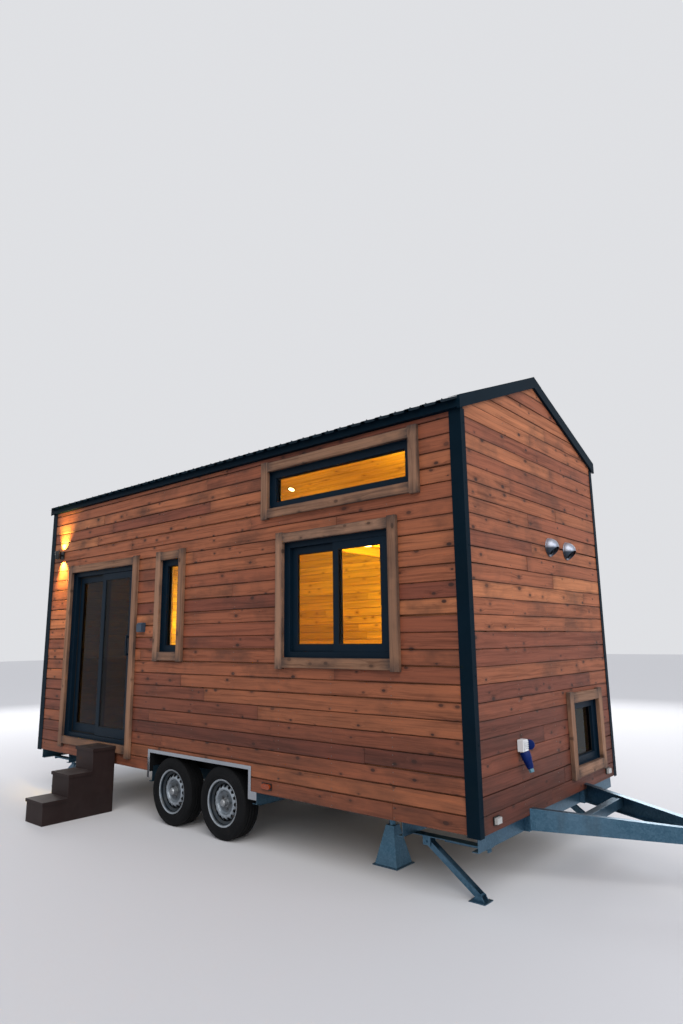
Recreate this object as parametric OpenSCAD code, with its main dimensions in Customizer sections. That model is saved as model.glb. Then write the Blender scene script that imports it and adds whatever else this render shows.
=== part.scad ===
// Tiny house on wheels: a timber cabin on a twin-axle drawbar trailer, parked on its steadies.
// Millimetres, +Z up. The origin is on the ground below the middle of everything that is drawn.
// +X is the drawbar end, the door is in the long wall at -Y.

/* [House body] */
// Length over the cladding
house_l = 5900; // [5600:50:7200]
// Width over the cladding
house_w = 2500; // [2300:10:2550]
// Height of the cladding, from its lower edge to the eave
wall_h = 2830; // [2750:10:3100]
// Pitch of the roof in degrees
roof_pitch = 22; // [15:0.5:30]
// How far the eave trim stands out of the cladding
eave_out = 35; // [20:5:80]

/* [Wall build-up] */
// Cladding boards with their battens
clad_t = 40; // [30:1:60]
// Insulated timber frame of a wall
wall_t = 95; // [70:5:160]
// Lining boards inside
lining_t = 12; // [9:1:20]
// Floor deck on the chassis
deck_t = 150; // [100:5:200]
// Floor boards
floor_board_t = 22; // [15:1:30]
// Insulated roof panel, square to the slope
roof_t = 120; // [80:5:200]

/* [Openings] */
// Width of the doorway
door_w = 1290; // [1100:10:1500]
// Height of the doorway
door_h = 1845; // [1750:5:1950]
// Middle of the doorway, from the drawbar end
door_from_end = 4650; // [4600:10:4800]
// Width of the kitchen window
kitchen_w = 1100; // [800:10:1300]
// Height of the kitchen window
kitchen_h = 950; // [700:10:1050]
// Middle of the kitchen window, from the drawbar end
kitchen_from_end = 1195; // [1000:5:1400]
// Middle of the loft windows, from the drawbar end
loft_from_end = 1185; // [1000:5:1400]
// Width of the loft windows
loft_w = 1500; // [1000:10:1600]
// Height of the loft windows
loft_h = 335; // [260:5:345]
// Width of the narrow window
narrow_w = 305; // [250:5:400]
// Height of the narrow window
narrow_h = 910; // [700:10:1000]
// Middle of the narrow window, from the drawbar end
narrow_from_end = 3350; // [3300:10:3450]
// Width of the window in the drawbar end
hatch_w = 560; // [400:10:620]
// Height of the window in the drawbar end
hatch_h = 500; // [400:10:700]
// Distance from that window to the corner of the house
hatch_in = 360; // [200:10:500]
// Width of the boards round doors and windows
surround_w = 80; // [70:5:120]
// Thickness of those boards
surround_t = 32; // [20:1:45]
// How far the upright boards run past the level ones
surround_past = 10; // [0:5:40]
// How far the upright boards of the doorway run past its lower board
door_board_past = 40; // [0:5:60]

/* [Wheels and chassis] */
// Outer radius of a tyre
tyre_r = 300; // [295:1:315]
// Width of a tyre
tyre_w = 185; // [165:5:205]
// Gap between a tyre and the top of its wheel box
floor_clear = 37; // [10:1:60]
// Gap between a tyre and the end of the wheel arch
arch_clear = 50; // [20:1:80]
// Distance between the two axles
axle_gap = 730; // [700:10:900]
// Middle between the axles, from the drawbar end
axles_from_end = 2875; // [2800:5:2950]
// Depth of the chassis members
chassis_h = 150; // [120:5:180]
// How far the chassis hangs below the cladding
chassis_drop = 100; // [80:5:120]
// Gap between a tyre and the main rail inside it
rail_gap = 240; // [180:2:300]
// Flange width of a chassis channel
flange_w = 50; // [40:5:70]
// Sheet thickness of a chassis channel
flange_t = 5; // [4:0.5:8]
// Length of the drawbar arms along the trailer
drawbar_l = 1070; // [900:10:1400]
// Height of the ball under the coupling
ball_z = 430; // [400:5:460]

/* [Steps] */
// Width of the entrance steps
steps_w = 330; // [300:10:800]
// Middle of the steps, from the drawbar end
steps_from_end = 4325; // [4200:5:4800]
// How far the top step lies below the door sill
step_down = 10; // [5:5:100]
// Depth of one step
step_going = 240; // [220:5:300]

/* [Hidden] */
$fn = 48;

// Colours
cedar = [0.66, 0.36, 0.22];
grey_timber = [0.55, 0.43, 0.35];
frame_timber = [0.80, 0.68, 0.48];
pine = [0.88, 0.66, 0.32];
dark_steel = [0.07, 0.17, 0.22];
dark_frame = [0.05, 0.09, 0.14];
zinc = [0.62, 0.67, 0.70];
black_iron = [0.13, 0.13, 0.14];
rubber = [0.06, 0.06, 0.06];
silver = [0.75, 0.77, 0.79];
clear_glass = [0.70, 0.80, 0.85, 0.4];
amber = [0.85, 0.40, 0.08];
blue_plastic = [0.05, 0.15, 0.55];
white_plastic = [0.90, 0.90, 0.88];
step_brown = [0.20, 0.15, 0.13];
socket_grey = [0.30, 0.38, 0.44];

// Faces of the wall build-up, from the middle of the house
half_w = house_w / 2;
frame_y = half_w - clad_t;
inner_y = frame_y - wall_t;
room_y = inner_y - lining_t;
frame_x = -clad_t;
inner_x = frame_x - wall_t;
room_x = inner_x - lining_t;
rear_x = -house_l;
rear_frame_x = rear_x + clad_t;
rear_inner_x = rear_frame_x + wall_t;
rear_room_x = rear_inner_x + lining_t;

// Levels: the floor lies just above the tyres, and the chassis hangs below it
liner_t = 3;
deck_top = 2 * tyre_r + floor_clear + liner_t;
chassis_top = deck_top - deck_t;
chassis_bot = chassis_top - chassis_h;
clad_bot = chassis_bot + chassis_drop;
floor_top = deck_top + floor_board_t;
eave_z = clad_bot + wall_h;
door_sill = deck_top;
head_z = door_sill + door_h;

// Roof planes: the top of the roof panel, by distance from the middle
fascia_h = 60;
eave_y = half_w + eave_out;
pitch_rise = tan(roof_pitch);
ridge_z = eave_z + fascia_h + eave_y * pitch_rise;
roof_drop = roof_t / cos(roof_pitch);
function roof_z(y) = ridge_z - abs(y) * pitch_rise;
function under_z(y) = roof_z(y) - roof_drop;

// Ribbed roof sheet
rib_pitch = 137.5;
rib_h = 20;
rib_foot = 50;
rib_crest = 28;
sheet_t = 1.2;
seat = 0.3;
sheet_lift = (rib_h + sheet_t + 2 * seat) / cos(roof_pitch);
sheet_out = 35;
ridge_gap = 25;

// Trims
trim_t = 4;
corner_long_w = 92;
corner_end_w = 52;
verge_t = 22;
verge_lap = 70;
verge_down = roof_z(half_w + trim_t) - eave_z;
mitre_gap = 0.6;

// Openings as [distance from the drawbar end, lower edge, width, height]
loft_gap = 44;
door = [door_from_end, door_sill, door_w, door_h];
kitchen = [kitchen_from_end, head_z - kitchen_h, kitchen_w, kitchen_h];
loft = [loft_from_end, eave_z - loft_gap - surround_w - surround_past - loft_h, loft_w, loft_h];
narrow = [narrow_from_end, head_z - narrow_h, narrow_w, narrow_h];
hatch_z = deck_top;
hatch_y = half_w - hatch_in - hatch_w / 2;
panel_gap = 0.6;

// Window frames
frame_set_back = 20;
frame_depth = 66;
ring_w = 45;
sash_w = 55;
sash_t = 26;
sash_gap = 4;
fit_gap = 0.4;
pane_t = 18;
slim_ring_w = 60;
sash_overlap = 60;

// Sliding door
door_depth = 98;
jamb_w = 50;
sill_h = 42;
leaf_t = 34;
leaf_gap = 6;
stile_w = 68;
bottom_rail_h = 92;
leaf_overlap = 66;
run_gap = 5;
roller_r = 14;
roller_w = 9;
roller_seat = 0.3;

// Wheels
rim_r = 195;
bead_r = 178;
wheel_inset = 0;
wheel_y = half_w - wheel_inset - tyre_w / 2;
fore_x = -axles_from_end + axle_gap / 2;
aft_x = -axles_from_end - axle_gap / 2;
arch_top = tyre_r * 2 + 15;
arch_l = axle_gap + 2 * (tyre_r + arch_clear);
arch_x0 = -axles_from_end - arch_l / 2;
arch_x1 = -axles_from_end + arch_l / 2;
box_y = wheel_y - tyre_w / 2 - 63;
rail_y = wheel_y - tyre_w / 2 - rail_gap - flange_w / 2;
spindle_r = 18.95;
hub_bore_r = 19;
drum_r = 115;
drum_in = -60;
nave_z = 27;
tube_s = 80;
arm_reach = 160;
arm_t = 28;
arm_out = tyre_w / 2 + 9;

// Drawbar
arm_root_y = 540;
arm_tip_y = 62;
arm_angle = atan((arm_root_y - arm_tip_y) / drawbar_l);
arm_len = sqrt(pow(arm_root_y - arm_tip_y, 2) + pow(drawbar_l, 2));
arm_top_root = clad_bot + 50;
arm_top_tip = ball_z - 20;
arm_bot_root = chassis_bot + 5;
arm_bot_tip = ball_z - 115;
function arm_top(x) = arm_top_root + (arm_top_tip - arm_top_root) * x / drawbar_l;
coupling_x = drawbar_l + 300;
ball_r = 25;
nose_r = 44;
nose_x = coupling_x + nose_r;

// Corner steadies
steady_in = 520;
steady_y = half_w - 210;
pivot_z = chassis_bot - 40;
leg_len = 480;
foot_up = 25;
leg_angle = asin((pivot_z - foot_up) / leg_len);
leg_w = 50;
leg_h = 42;
leg_wall = 4;
pin_r = 8;
lug_t = 6;
cheek_gap = 5;
cheek_t = 6;
plate_t = 5;

// Steps, stands and fittings
steps_n = 3;
step_rise = (door_sill - step_down) / steps_n;
nosing = 10;
tread_t = 30;
steps_y = half_w + surround_t + seat;
stand_from_end = 1010;
stand_base = 230;
lamp_t = 45;

// Reach of the whole object, for the origin
reach_rear = house_l + lamp_t;
reach_fore = nose_x;
reach_door = steps_y + steps_n * step_going + nosing;
reach_back = half_w + eave_out + sheet_out + (rib_h + sheet_t) * sin(roof_pitch);
origin_x = (reach_fore - reach_rear) / 2;
origin_y = (reach_back - reach_door) / 2;

// Everything below is drawn from the drawbar end and the middle of the house, and moved to the origin
module placed() {
    translate([-origin_x, -origin_y, 0]) children();
}

// Box from its low corner to its high corner
module block(low, high) {
    translate(low) cube(high - low);
}

// Outline in Y and Z, drawn out along X
module along_x(x0, x1) {
    translate([x0, 0, 0]) rotate([90, 0, 90]) linear_extrude(x1 - x0) children();
}

// Outline in X and Z, drawn out along Y
module along_y(y0, y1) {
    translate([0, y1, 0]) rotate([90, 0, 0]) linear_extrude(y1 - y0) children();
}

// The same on the door side and on the back side
module both_sides() {
    children();
    mirror([0, 1, 0]) children();
}

// The same at the drawbar end and at the rear end
module both_ends() {
    children();
    translate([-house_l, 0, 0]) mirror([1, 0, 0]) children();
}

// Hole through a long wall, for an opening given as [from end, lower edge, width, height]
module wall_hole(o, y0, y1) {
    block([-o[0] - o[2] / 2, y0, o[1]], [-o[0] + o[2] / 2, y1, o[1] + o[3]]);
}

// Rectangular ring in X and Z
module ring_2d(w, h, side, top, bottom) {
    difference() {
        translate([-w / 2, 0]) square([w, h]);
        translate([-w / 2 + side, bottom]) square([w - 2 * side, h - top - bottom]);
    }
}

// Channel along X, web outside at +Y, flanges towards -Y, from its lower outer edge
module channel_x(x0, x1, h, b, t) {
    along_x(x0, x1) polygon([[0, 0], [0, h], [-b, h], [-b, h - t], [-t, h - t], [-t, t], [-b, t], [-b, 0]]);
}

// Channel along Y, web at +X, flanges towards -X
module channel_y(y0, y1, h, b, t) {
    along_y(y0, y1) polygon([[0, 0], [0, h], [-b, h], [-b, h - t], [-t, h - t], [-t, t], [-b, t], [-b, 0]]);
}

// Chassis
module chassis_rails() {
    color(zinc) both_sides() translate([0, rail_y + flange_w / 2, chassis_bot])
        channel_x(rear_frame_x + flange_w, frame_x - flange_w, chassis_h, flange_w, flange_t);
}

outrigger_out = frame_y - 2;
cross_stations = [for (x = [-620, arch_x1 + 60, arch_x0 - 10, rear_x + 670]) x];

module chassis_cross_members() {
    color(zinc) {
        both_ends() translate([frame_x, 0, chassis_bot])
            channel_y(-outrigger_out, outrigger_out, chassis_h, flange_w, flange_t);
        for (x = cross_stations) {
            translate([x, 0, chassis_bot])
                channel_y(-rail_y + flange_w / 2, rail_y - flange_w / 2, chassis_h, flange_w, flange_t);
            both_sides() translate([x, 0, chassis_bot])
                channel_y(rail_y + flange_w / 2, outrigger_out, chassis_h, flange_w, flange_t);
        }
        translate([tie_x, 0, arm_top(tie_x + tie_w) - 15 - tie_h]) drawbar_tie();
    }
}

// Tie between the two drawbar arms
tie_x = 278;
tie_w = 60;
tie_h = 70;
module drawbar_tie() {
    reach = arm_root_y - tan(arm_angle) * tie_x;
    half = reach - flange_t / cos(arm_angle) - seat;
    slope = tan(arm_angle);
    linear_extrude(tie_h)
        polygon([[0, -half], [tie_w, -half + tie_w * slope], [tie_w, half - tie_w * slope], [0, half]]);
}

// One drawbar arm: a tapered channel, open to the inside, with its top notched round the cladding
module drawbar_arm() {
    translate([0, arm_root_y, 0]) rotate([0, 0, -arm_angle]) difference() {
        along_y(-flange_w, 0) polygon([
            [0, arm_bot_root], [arm_len, arm_bot_tip], [arm_len, arm_top_tip], [0, arm_top_root]
        ]);
        along_y(-flange_w - 1, -flange_t) polygon([
            [-1, arm_bot_root + flange_t], [arm_len + 1, arm_bot_tip + flange_t],
            [arm_len + 1, arm_top_tip - flange_t], [-1, arm_top_root - flange_t]
        ]);
    }
}

// Plate that joins an arm to the front cross-member below the cladding
module arm_foot() {
    block([frame_x, arm_root_y - flange_w - 20, chassis_bot], [0, arm_root_y + 20, clad_bot]);
}

module drawbar_arms() {
    color(zinc) both_sides() difference() {
        union() {
            drawbar_arm();
            arm_foot();
        }
        block([-house_l, 0, clad_bot], [0, half_w, eave_z]);
        // Flanges cut back beside the coupling
        block([drawbar_l - 151, -1, chassis_bot - 40], [drawbar_l + 1, housing_half, clad_bot + 60]);
    }
}

plate_x0 = drawbar_l - 140;
plate_x1 = drawbar_l - 20;
housing_half = 34;
// Half the distance between the webs of the arms at a distance from the drawbar end wall
function web_gap(x) = arm_tip_y + (drawbar_l - x) * tan(arm_angle) - flange_t / cos(arm_angle);

// Outline in X and Y, drawn up from a height
module linear_extrude_at(z, h) {
    translate([0, 0, z]) linear_extrude(h) children();
}

module overrun_coupling() {
    color(black_iron) {
        difference() {
            block([drawbar_l - 150, -housing_half, ball_z - 40], [drawbar_l + 70, housing_half, ball_z + 28]);
            translate([drawbar_l - 151, 0, ball_z]) rotate([0, 90, 0]) cylinder(r = 22, h = 100);
        }
        // Plate bolted between the webs of the arms
        linear_extrude_at(ball_z - 52, 12) polygon([
            [plate_x0, -web_gap(plate_x0)], [plate_x1, -web_gap(plate_x1)],
            [plate_x1, web_gap(plate_x1)], [plate_x0, web_gap(plate_x0)]
        ]);
        // Bellows round the draw tube
        for (k = [0:4])
            translate([drawbar_l + 70 + k * 20, 0, ball_z]) rotate([0, 90, 0]) cylinder(r1 = 34, r2 = 28, h = 20);
        translate([drawbar_l + 170, 0, ball_z]) rotate([0, 90, 0]) cylinder(r = 25, h = 10);
        // Hand brake lever
        translate([drawbar_l - 60, housing_half + 6, ball_z + 34]) rotate([0, -60, 0])
            block([0, -6, -8], [300, 6, 8]);
        block([drawbar_l - 95, housing_half, ball_z + 14], [drawbar_l - 30, housing_half + 12, ball_z + 52]);
    }
}

module coupling_head() {
    color(silver) difference() {
        union() {
            block([drawbar_l + 180, -36, ball_z - 18], [coupling_x, 36, ball_z + 34]);
            translate([coupling_x, 0, ball_z - 18]) cylinder(r = nose_r, h = 56);
            translate([coupling_x - 10, 0, ball_z + 38]) rotate([0, -70, 0]) block([-10, -20, -8], [16, 20, 130]);
        }
        translate([coupling_x, 0, ball_z]) sphere(r = ball_r + 0.5);
        translate([coupling_x, 0, ball_z - 40]) cylinder(r = ball_r + 0.5, h = 40);
    }
}

// Axle with its two trailing arms, brake plates and stub axles
module axle(x) {
    block([x + arm_reach - tube_s / 2, -wheel_y + arm_out + 10, chassis_bot - tube_s],
        [x + arm_reach + tube_s / 2, wheel_y - arm_out - 10, chassis_bot]);
    both_sides() translate([x, wheel_y, tyre_r]) rotate([-90, 0, 0]) {
        arm_drop = chassis_bot - tube_s / 2 - tyre_r;
        translate([0, 0, -arm_out - arm_t]) {
            cylinder(r = 36, h = arm_t);
            translate([0, -arm_drop / 2 - 30, 0]) cube([arm_reach, 60, arm_t]);
            translate([arm_reach, -arm_drop, 0]) cylinder(r = 36, h = arm_t);
        }
        translate([0, 0, -arm_out]) cylinder(r = 40, h = arm_out - 68);
        translate([0, 0, -74]) cylinder(r = drum_r + 3, h = 6);
        translate([0, 0, -74]) cylinder(r = spindle_r, h = 88);
    }
}

module axles() {
    color(zinc) for (x = [fore_x, aft_x]) axle(x);
}

// Sheet boxes over the wheels, open below and to the outside
module wheel_boxes() {
    color(zinc) both_sides() difference() {
        block([arch_x0, box_y, chassis_top], [arch_x1, frame_y, deck_top]);
        block([arch_x0 + liner_t, box_y + liner_t, chassis_top - 1],
            [arch_x1 - liner_t, frame_y + 1, deck_top - liner_t]);
    }
}

arch_trim_w = 32;
arch_trim_t = 3;
arch_trim_low = clad_bot - 55;
module wheel_arch_trims() {
    color(silver) both_sides() {
        along_y(half_w, half_w + arch_trim_t) polygon([
            [arch_x0 - arch_trim_w, arch_trim_low], [arch_x0, arch_trim_low], [arch_x0, arch_top],
            [arch_x1, arch_top], [arch_x1, arch_trim_low], [arch_x1 + arch_trim_w + 70, arch_trim_low],
            [arch_x1 + arch_trim_w + 70, arch_trim_low + 65], [arch_x1 + arch_trim_w, arch_trim_low + 65],
            [arch_x1 + arch_trim_w, arch_top + arch_trim_w], [arch_x0 - arch_trim_w, arch_top + arch_trim_w]
        ]);
    }
}

// Floor
module floor_deck() {
    color(frame_timber) difference() {
        block([rear_frame_x, -frame_y, chassis_top], [frame_x, frame_y, deck_top]);
        both_sides() block([arch_x0, box_y, chassis_top - 1], [arch_x1, frame_y + 1, deck_top + 1]);
    }
}

module floor_boards() {
    color(pine) {
        block([rear_room_x, -room_y, deck_top], [room_x, room_y, floor_top]);
        block([-door[0] - door[2] / 2, -half_w + frame_set_back + door_depth, deck_top],
            [-door[0] + door[2] / 2, -room_y, floor_top]);
    }
}

// Long wall: outline in Y and Z of one layer between two faces
module wall_layer(y0, y1, z0) {
    along_x(rear_inner_x, inner_x)
        polygon([[y0, z0], [y1, z0], [y1, under_z(y1)], [y0, under_z(y0)]]);
}

// What the openings of the door side take out of a layer between two faces
module door_side_windows(y0, y1) {
    wall_hole(kitchen, y0, y1);
    wall_hole(loft, y0, y1);
    wall_hole(narrow, y0, y1);
}

// The doorway, with the joints beside it where the wall is made up of separate panels
module doorway(y0, y1, top) {
    wall_hole(door, y0, y1);
    for (s = [-1, 1])
        block([-door[0] + s * door[2] / 2 - panel_gap / 2, y0, head_z - 1],
            [-door[0] + s * door[2] / 2 + panel_gap / 2, y1, top]);
}

// Joint of the wall panels, half way between the loft window and the narrow window
panel_joint_x = -(loft[0] + loft[2] / 2 + narrow[0] - narrow[2] / 2) / 2;

module door_side_wall() {
    color(frame_timber) difference() {
        wall_layer(-frame_y, -inner_y, deck_top);
        door_side_windows(-frame_y - 1, -inner_y + 1);
        doorway(-frame_y - 1, -inner_y + 1, ridge_z);
        block([panel_joint_x - panel_gap / 2, -frame_y - 1, deck_top - 1],
            [panel_joint_x + panel_gap / 2, -inner_y + 1, ridge_z]);
    }
}

module back_side_wall() {
    color(frame_timber) difference() {
        wall_layer(inner_y, frame_y, deck_top);
        wall_hole(loft, inner_y - 1, frame_y + 1);
    }
}

// Gable outline between the two wall faces, up to a roof plane given by its height over the middle
module gable_2d(half, z0, top) {
    polygon([
        [-half, z0], [half, z0], [half, top - half * pitch_rise], [0, top], [-half, top - half * pitch_rise]
    ]);
}

// Hole for the window in the drawbar end
module end_hole(x0, x1) {
    block([x0, hatch_y - hatch_w / 2, hatch_z], [x1, hatch_y + hatch_w / 2, hatch_z + hatch_h]);
}

module drawbar_end_wall() {
    color(frame_timber) difference() {
        along_x(inner_x, frame_x) gable_2d(frame_y, deck_top, ridge_z - roof_drop);
        end_hole(inner_x - 1, frame_x + 1);
    }
}

module rear_end_wall() {
    color(frame_timber) along_x(rear_frame_x, rear_inner_x) gable_2d(frame_y, deck_top, ridge_z - roof_drop);
}

// Cladding
module arch_hole(y0, y1) {
    block([arch_x0, y0, clad_bot - 1], [arch_x1, y1, arch_top]);
}

module door_side_cladding() {
    color(cedar) difference() {
        block([rear_frame_x, -half_w, clad_bot], [frame_x, -frame_y, eave_z]);
        door_side_windows(-half_w - 1, -frame_y + 1);
        doorway(-half_w - 1, -frame_y + 1, eave_z + 1);
        for (s = [-1, 1])
            block([-door[0] + s * door[2] / 2 - panel_gap / 2, -half_w - 1, clad_bot - 1],
                [-door[0] + s * door[2] / 2 + panel_gap / 2, -frame_y + 1, door_sill + 1]);
        arch_hole(-half_w - 1, -frame_y + 1);
    }
}

module back_side_cladding() {
    color(cedar) difference() {
        block([rear_frame_x, frame_y, clad_bot], [frame_x, half_w, eave_z]);
        wall_hole(loft, frame_y - 1, half_w + 1);
        arch_hole(frame_y - 1, half_w + 1);
    }
}

module end_cladding_2d() {
    polygon([
        [-half_w, clad_bot], [half_w, clad_bot], [half_w, eave_z], [frame_y, eave_z],
        [frame_y, roof_z(frame_y)], [0, ridge_z], [-frame_y, roof_z(frame_y)],
        [-frame_y, eave_z], [-half_w, eave_z]
    ]);
}

module drawbar_end_cladding() {
    color(cedar) difference() {
        along_x(frame_x, 0) end_cladding_2d();
        end_hole(frame_x - 1, 1);
    }
}

module rear_end_cladding() {
    color(cedar) along_x(rear_x, rear_frame_x) end_cladding_2d();
}

// Lining boards: one layer on each wall, a joint's width apart at the corners
module wall_linings() {
    color(pine) {
        difference() {
            wall_layer(-inner_y, -room_y, floor_top);
            door_side_windows(-inner_y - 1, -room_y + 1);
            wall_hole([door[0], door[1], door[2], door[3]], -inner_y - 1, -room_y + 1);
        }
        difference() {
            wall_layer(room_y, inner_y, floor_top);
            wall_hole(loft, room_y - 1, inner_y + 1);
        }
        difference() {
            along_x(room_x, inner_x) gable_2d(room_y - panel_gap, floor_top, ridge_z - roof_drop);
            end_hole(room_x - 1, inner_x + 1);
        }
        along_x(rear_inner_x, rear_room_x) gable_2d(room_y - panel_gap, floor_top, ridge_z - roof_drop);
    }
}

// Loft floor: boards over joists, with a trimmer beam at its open edge
loft_l = 2150;
loft_under = loft[1] - 220;
loft_t = 110;
loft_board_t = 22;
joist_w = 60;
joist_n = 5;
module loft_floor() {
    color(pine) {
        block([room_x - loft_l, -room_y, loft_under + loft_t - loft_board_t],
            [room_x, room_y, loft_under + loft_t]);
        for (k = [0:joist_n - 1]) {
            x = room_x - loft_l + k * (loft_l - joist_w) / (joist_n - 1);
            block([x, -room_y, loft_under], [x + joist_w, room_y, loft_under + loft_t - loft_board_t]);
        }
    }
}

// Roof
module roof_panels() {
    color(frame_timber) both_sides() along_x(rear_frame_x, frame_x) polygon([
        [mitre_gap / 2, roof_z(mitre_gap / 2)], [frame_y, roof_z(frame_y)],
        [frame_y, under_z(frame_y)], [mitre_gap / 2, under_z(mitre_gap / 2)]
    ]);
}

// Outline of the ribbed sheet: along the eave and square to the slope
rib_n = floor((house_l - rib_foot) / rib_pitch);
rib_start = (house_l - rib_n * rib_pitch) / 2;
function rib_points(lift) = [
    for (k = [0:rib_n - 1]) let (c = rib_start + (k + 0.5) * rib_pitch)
        for (q = [[-rib_foot / 2, 0], [-rib_crest / 2, rib_h], [rib_crest / 2, rib_h], [rib_foot / 2, 0]])
            [c + q[0], q[1] + lift]
];
function reversed(p) = [for (k = [len(p) - 1:-1:0]) p[k]];

module sheet_2d() {
    polygon(concat(
        [[0, 0]], rib_points(0), [[house_l, 0], [house_l, sheet_t]],
        reversed(rib_points(sheet_t)), [[0, sheet_t]]
    ));
}

module roof_sheets() {
    slope_l = (eave_y + sheet_out) / cos(roof_pitch) - ridge_gap;
    color(dark_steel) both_sides() translate([rear_x, 0, ridge_z])
        rotate([-roof_pitch, 0, 0]) translate([0, ridge_gap + slope_l, seat]) rotate([90, 0, 0])
        linear_extrude(slope_l) sheet_2d();
}

cap_w = 150;
cap_t = 2;
module ridge_cap() {
    far = cap_w * cos(roof_pitch);
    color(dark_steel) along_x(rear_x - verge_t - 2, verge_t + 2) polygon([
        [0, ridge_z + sheet_lift], [far, roof_z(far) + sheet_lift], [far, roof_z(far) + sheet_lift + cap_t],
        [0, ridge_z + sheet_lift + cap_t + 1], [-far, roof_z(far) + sheet_lift + cap_t],
        [-far, roof_z(far) + sheet_lift]
    ]);
}

// Verge trim: a face on the gable and a leg that laps over the roof sheet
module verge_half() {
    low = mitre_gap / 2;
    end = eave_y;
    lap_from = cap_w * cos(roof_pitch) + 1;
    along_x(0, verge_t) polygon([
        [low, roof_z(low) - verge_down], [end, roof_z(end) - verge_down],
        [end, roof_z(end) + sheet_lift], [low, roof_z(low) + sheet_lift]
    ]);
    along_x(-verge_lap, verge_t) polygon([
        [lap_from, roof_z(lap_from) + sheet_lift], [end, roof_z(end) + sheet_lift],
        [end, roof_z(end) + sheet_lift + cap_t], [lap_from, roof_z(lap_from) + sheet_lift + cap_t]
    ]);
}

module verge_trims() {
    color(dark_steel) both_ends() both_sides() verge_half();
}

module eave_trims() {
    color(dark_steel) both_sides() along_x(rear_x, 0) polygon([
        [frame_y, eave_z], [eave_y, eave_z], [eave_y, roof_z(eave_y)], [frame_y, roof_z(frame_y)]
    ]);
}

module corner_trims() {
    color(dark_steel) both_ends() both_sides() {
        block([-corner_long_w, half_w, clad_bot - 4], [trim_t, half_w + trim_t, eave_z]);
        block([0, half_w - corner_end_w, clad_bot - 4],
            [trim_t, half_w + 1, roof_z(half_w + 1) - verge_down - mitre_gap]);
    }
}

// Boards round an opening, in X and Z from the middle of its lower edge
module surround_2d(w, h, past_low = surround_past) {
    for (s = [-1, 1])
        translate([s * (w + surround_w) / 2 - surround_w / 2, -surround_w - past_low])
            square([surround_w, h + 2 * surround_w + surround_past + past_low]);
    translate([-w / 2 + fit_gap, -surround_w]) square([w - 2 * fit_gap, surround_w]);
    translate([-w / 2 + fit_gap, h]) square([w - 2 * fit_gap, surround_w]);
}

module surround_on_side(o, past_low = surround_past) {
    translate([-o[0], 0, o[1]]) along_y(-half_w - surround_t, -half_w) surround_2d(o[2], o[3], past_low);
}

module door_surround() {
    color(grey_timber) surround_on_side(door, door_board_past);
}

// The loft window's boards on the back side, and those of the window in the drawbar end
module window_surrounds() {
    color(grey_timber) {
        surround_on_side(kitchen);
        surround_on_side(loft);
        surround_on_side(narrow);
        mirror([0, 1, 0]) surround_on_side(loft);
        translate([0, hatch_y, hatch_z]) rotate([0, 0, 90]) along_y(-surround_t, 0)
            surround_2d(hatch_w, hatch_h);
    }
}

// Frame ring of an opening in a long wall
module frame_ring(o, ring, depth) {
    translate([-o[0], 0, o[1]]) along_y(-half_w + frame_set_back, -half_w + frame_set_back + depth)
        ring_2d(o[2], o[3], ring, ring, ring);
}

// Kitchen window: a frame and two sashes that slide past each other
kitchen_clear_w = kitchen_w - 2 * ring_w;
kitchen_clear_h = kitchen_h - 2 * ring_w;
kitchen_sash_w = (kitchen_clear_w + sash_overlap) / 2 - fit_gap;
sash_out_y = -half_w + frame_set_back + 4;
sash_in_y = sash_out_y + sash_t + sash_gap;
function kitchen_sash_x(side) = -kitchen[0] + side * (kitchen_clear_w / 2 - fit_gap - kitchen_sash_w / 2);

module kitchen_sash(side, y) {
    translate([kitchen_sash_x(side), 0, kitchen[1] + ring_w + fit_gap]) along_y(y, y + sash_t)
        ring_2d(kitchen_sash_w, kitchen_clear_h - 2 * fit_gap, sash_w, sash_w, sash_w);
}

module kitchen_window() {
    color(dark_frame) {
        frame_ring(kitchen, ring_w, frame_depth);
        kitchen_sash(1, sash_out_y);
        kitchen_sash(-1, sash_in_y);
    }
}

module loft_windows() {
    color(dark_frame) both_sides() frame_ring(loft, slim_ring_w, frame_depth);
}

module narrow_window() {
    color(dark_frame) frame_ring(narrow, slim_ring_w, frame_depth);
}

module end_window() {
    color(dark_frame) translate([0, hatch_y, hatch_z]) rotate([0, 0, 90])
        along_y(frame_set_back, frame_set_back + frame_depth)
        ring_2d(hatch_w, hatch_h, slim_ring_w, slim_ring_w, slim_ring_w);
}

// Pane that fills a ring: middle in X, lower edge, size of the ring and width of its bars
module pane(x, z, w, h, ring, y) {
    block([x - w / 2 + ring, y, z + ring], [x + w / 2 - ring, y + pane_t, z + h - ring]);
}

fixed_pane_y = -half_w + frame_set_back + (frame_depth - pane_t) / 2;
module window_panes() {
    color(clear_glass) {
        for (q = [[1, sash_out_y], [-1, sash_in_y]])
            pane(kitchen_sash_x(q[0]), kitchen[1] + ring_w + fit_gap, kitchen_sash_w,
                kitchen_clear_h - 2 * fit_gap, sash_w, q[1] + (sash_t - pane_t) / 2);
        both_sides() pane(-loft[0], loft[1], loft_w, loft_h, slim_ring_w, fixed_pane_y);
        pane(-narrow[0], narrow[1], narrow_w, narrow_h, slim_ring_w, fixed_pane_y);
        translate([0, hatch_y, hatch_z]) rotate([0, 0, 90])
            pane(0, 0, hatch_w, hatch_h, slim_ring_w, frame_set_back + (frame_depth - pane_t) / 2);
        translate([leaf_x(-1), 0, leaf_z]) leaf_pane(leaf_in_y);
    }
}

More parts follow.
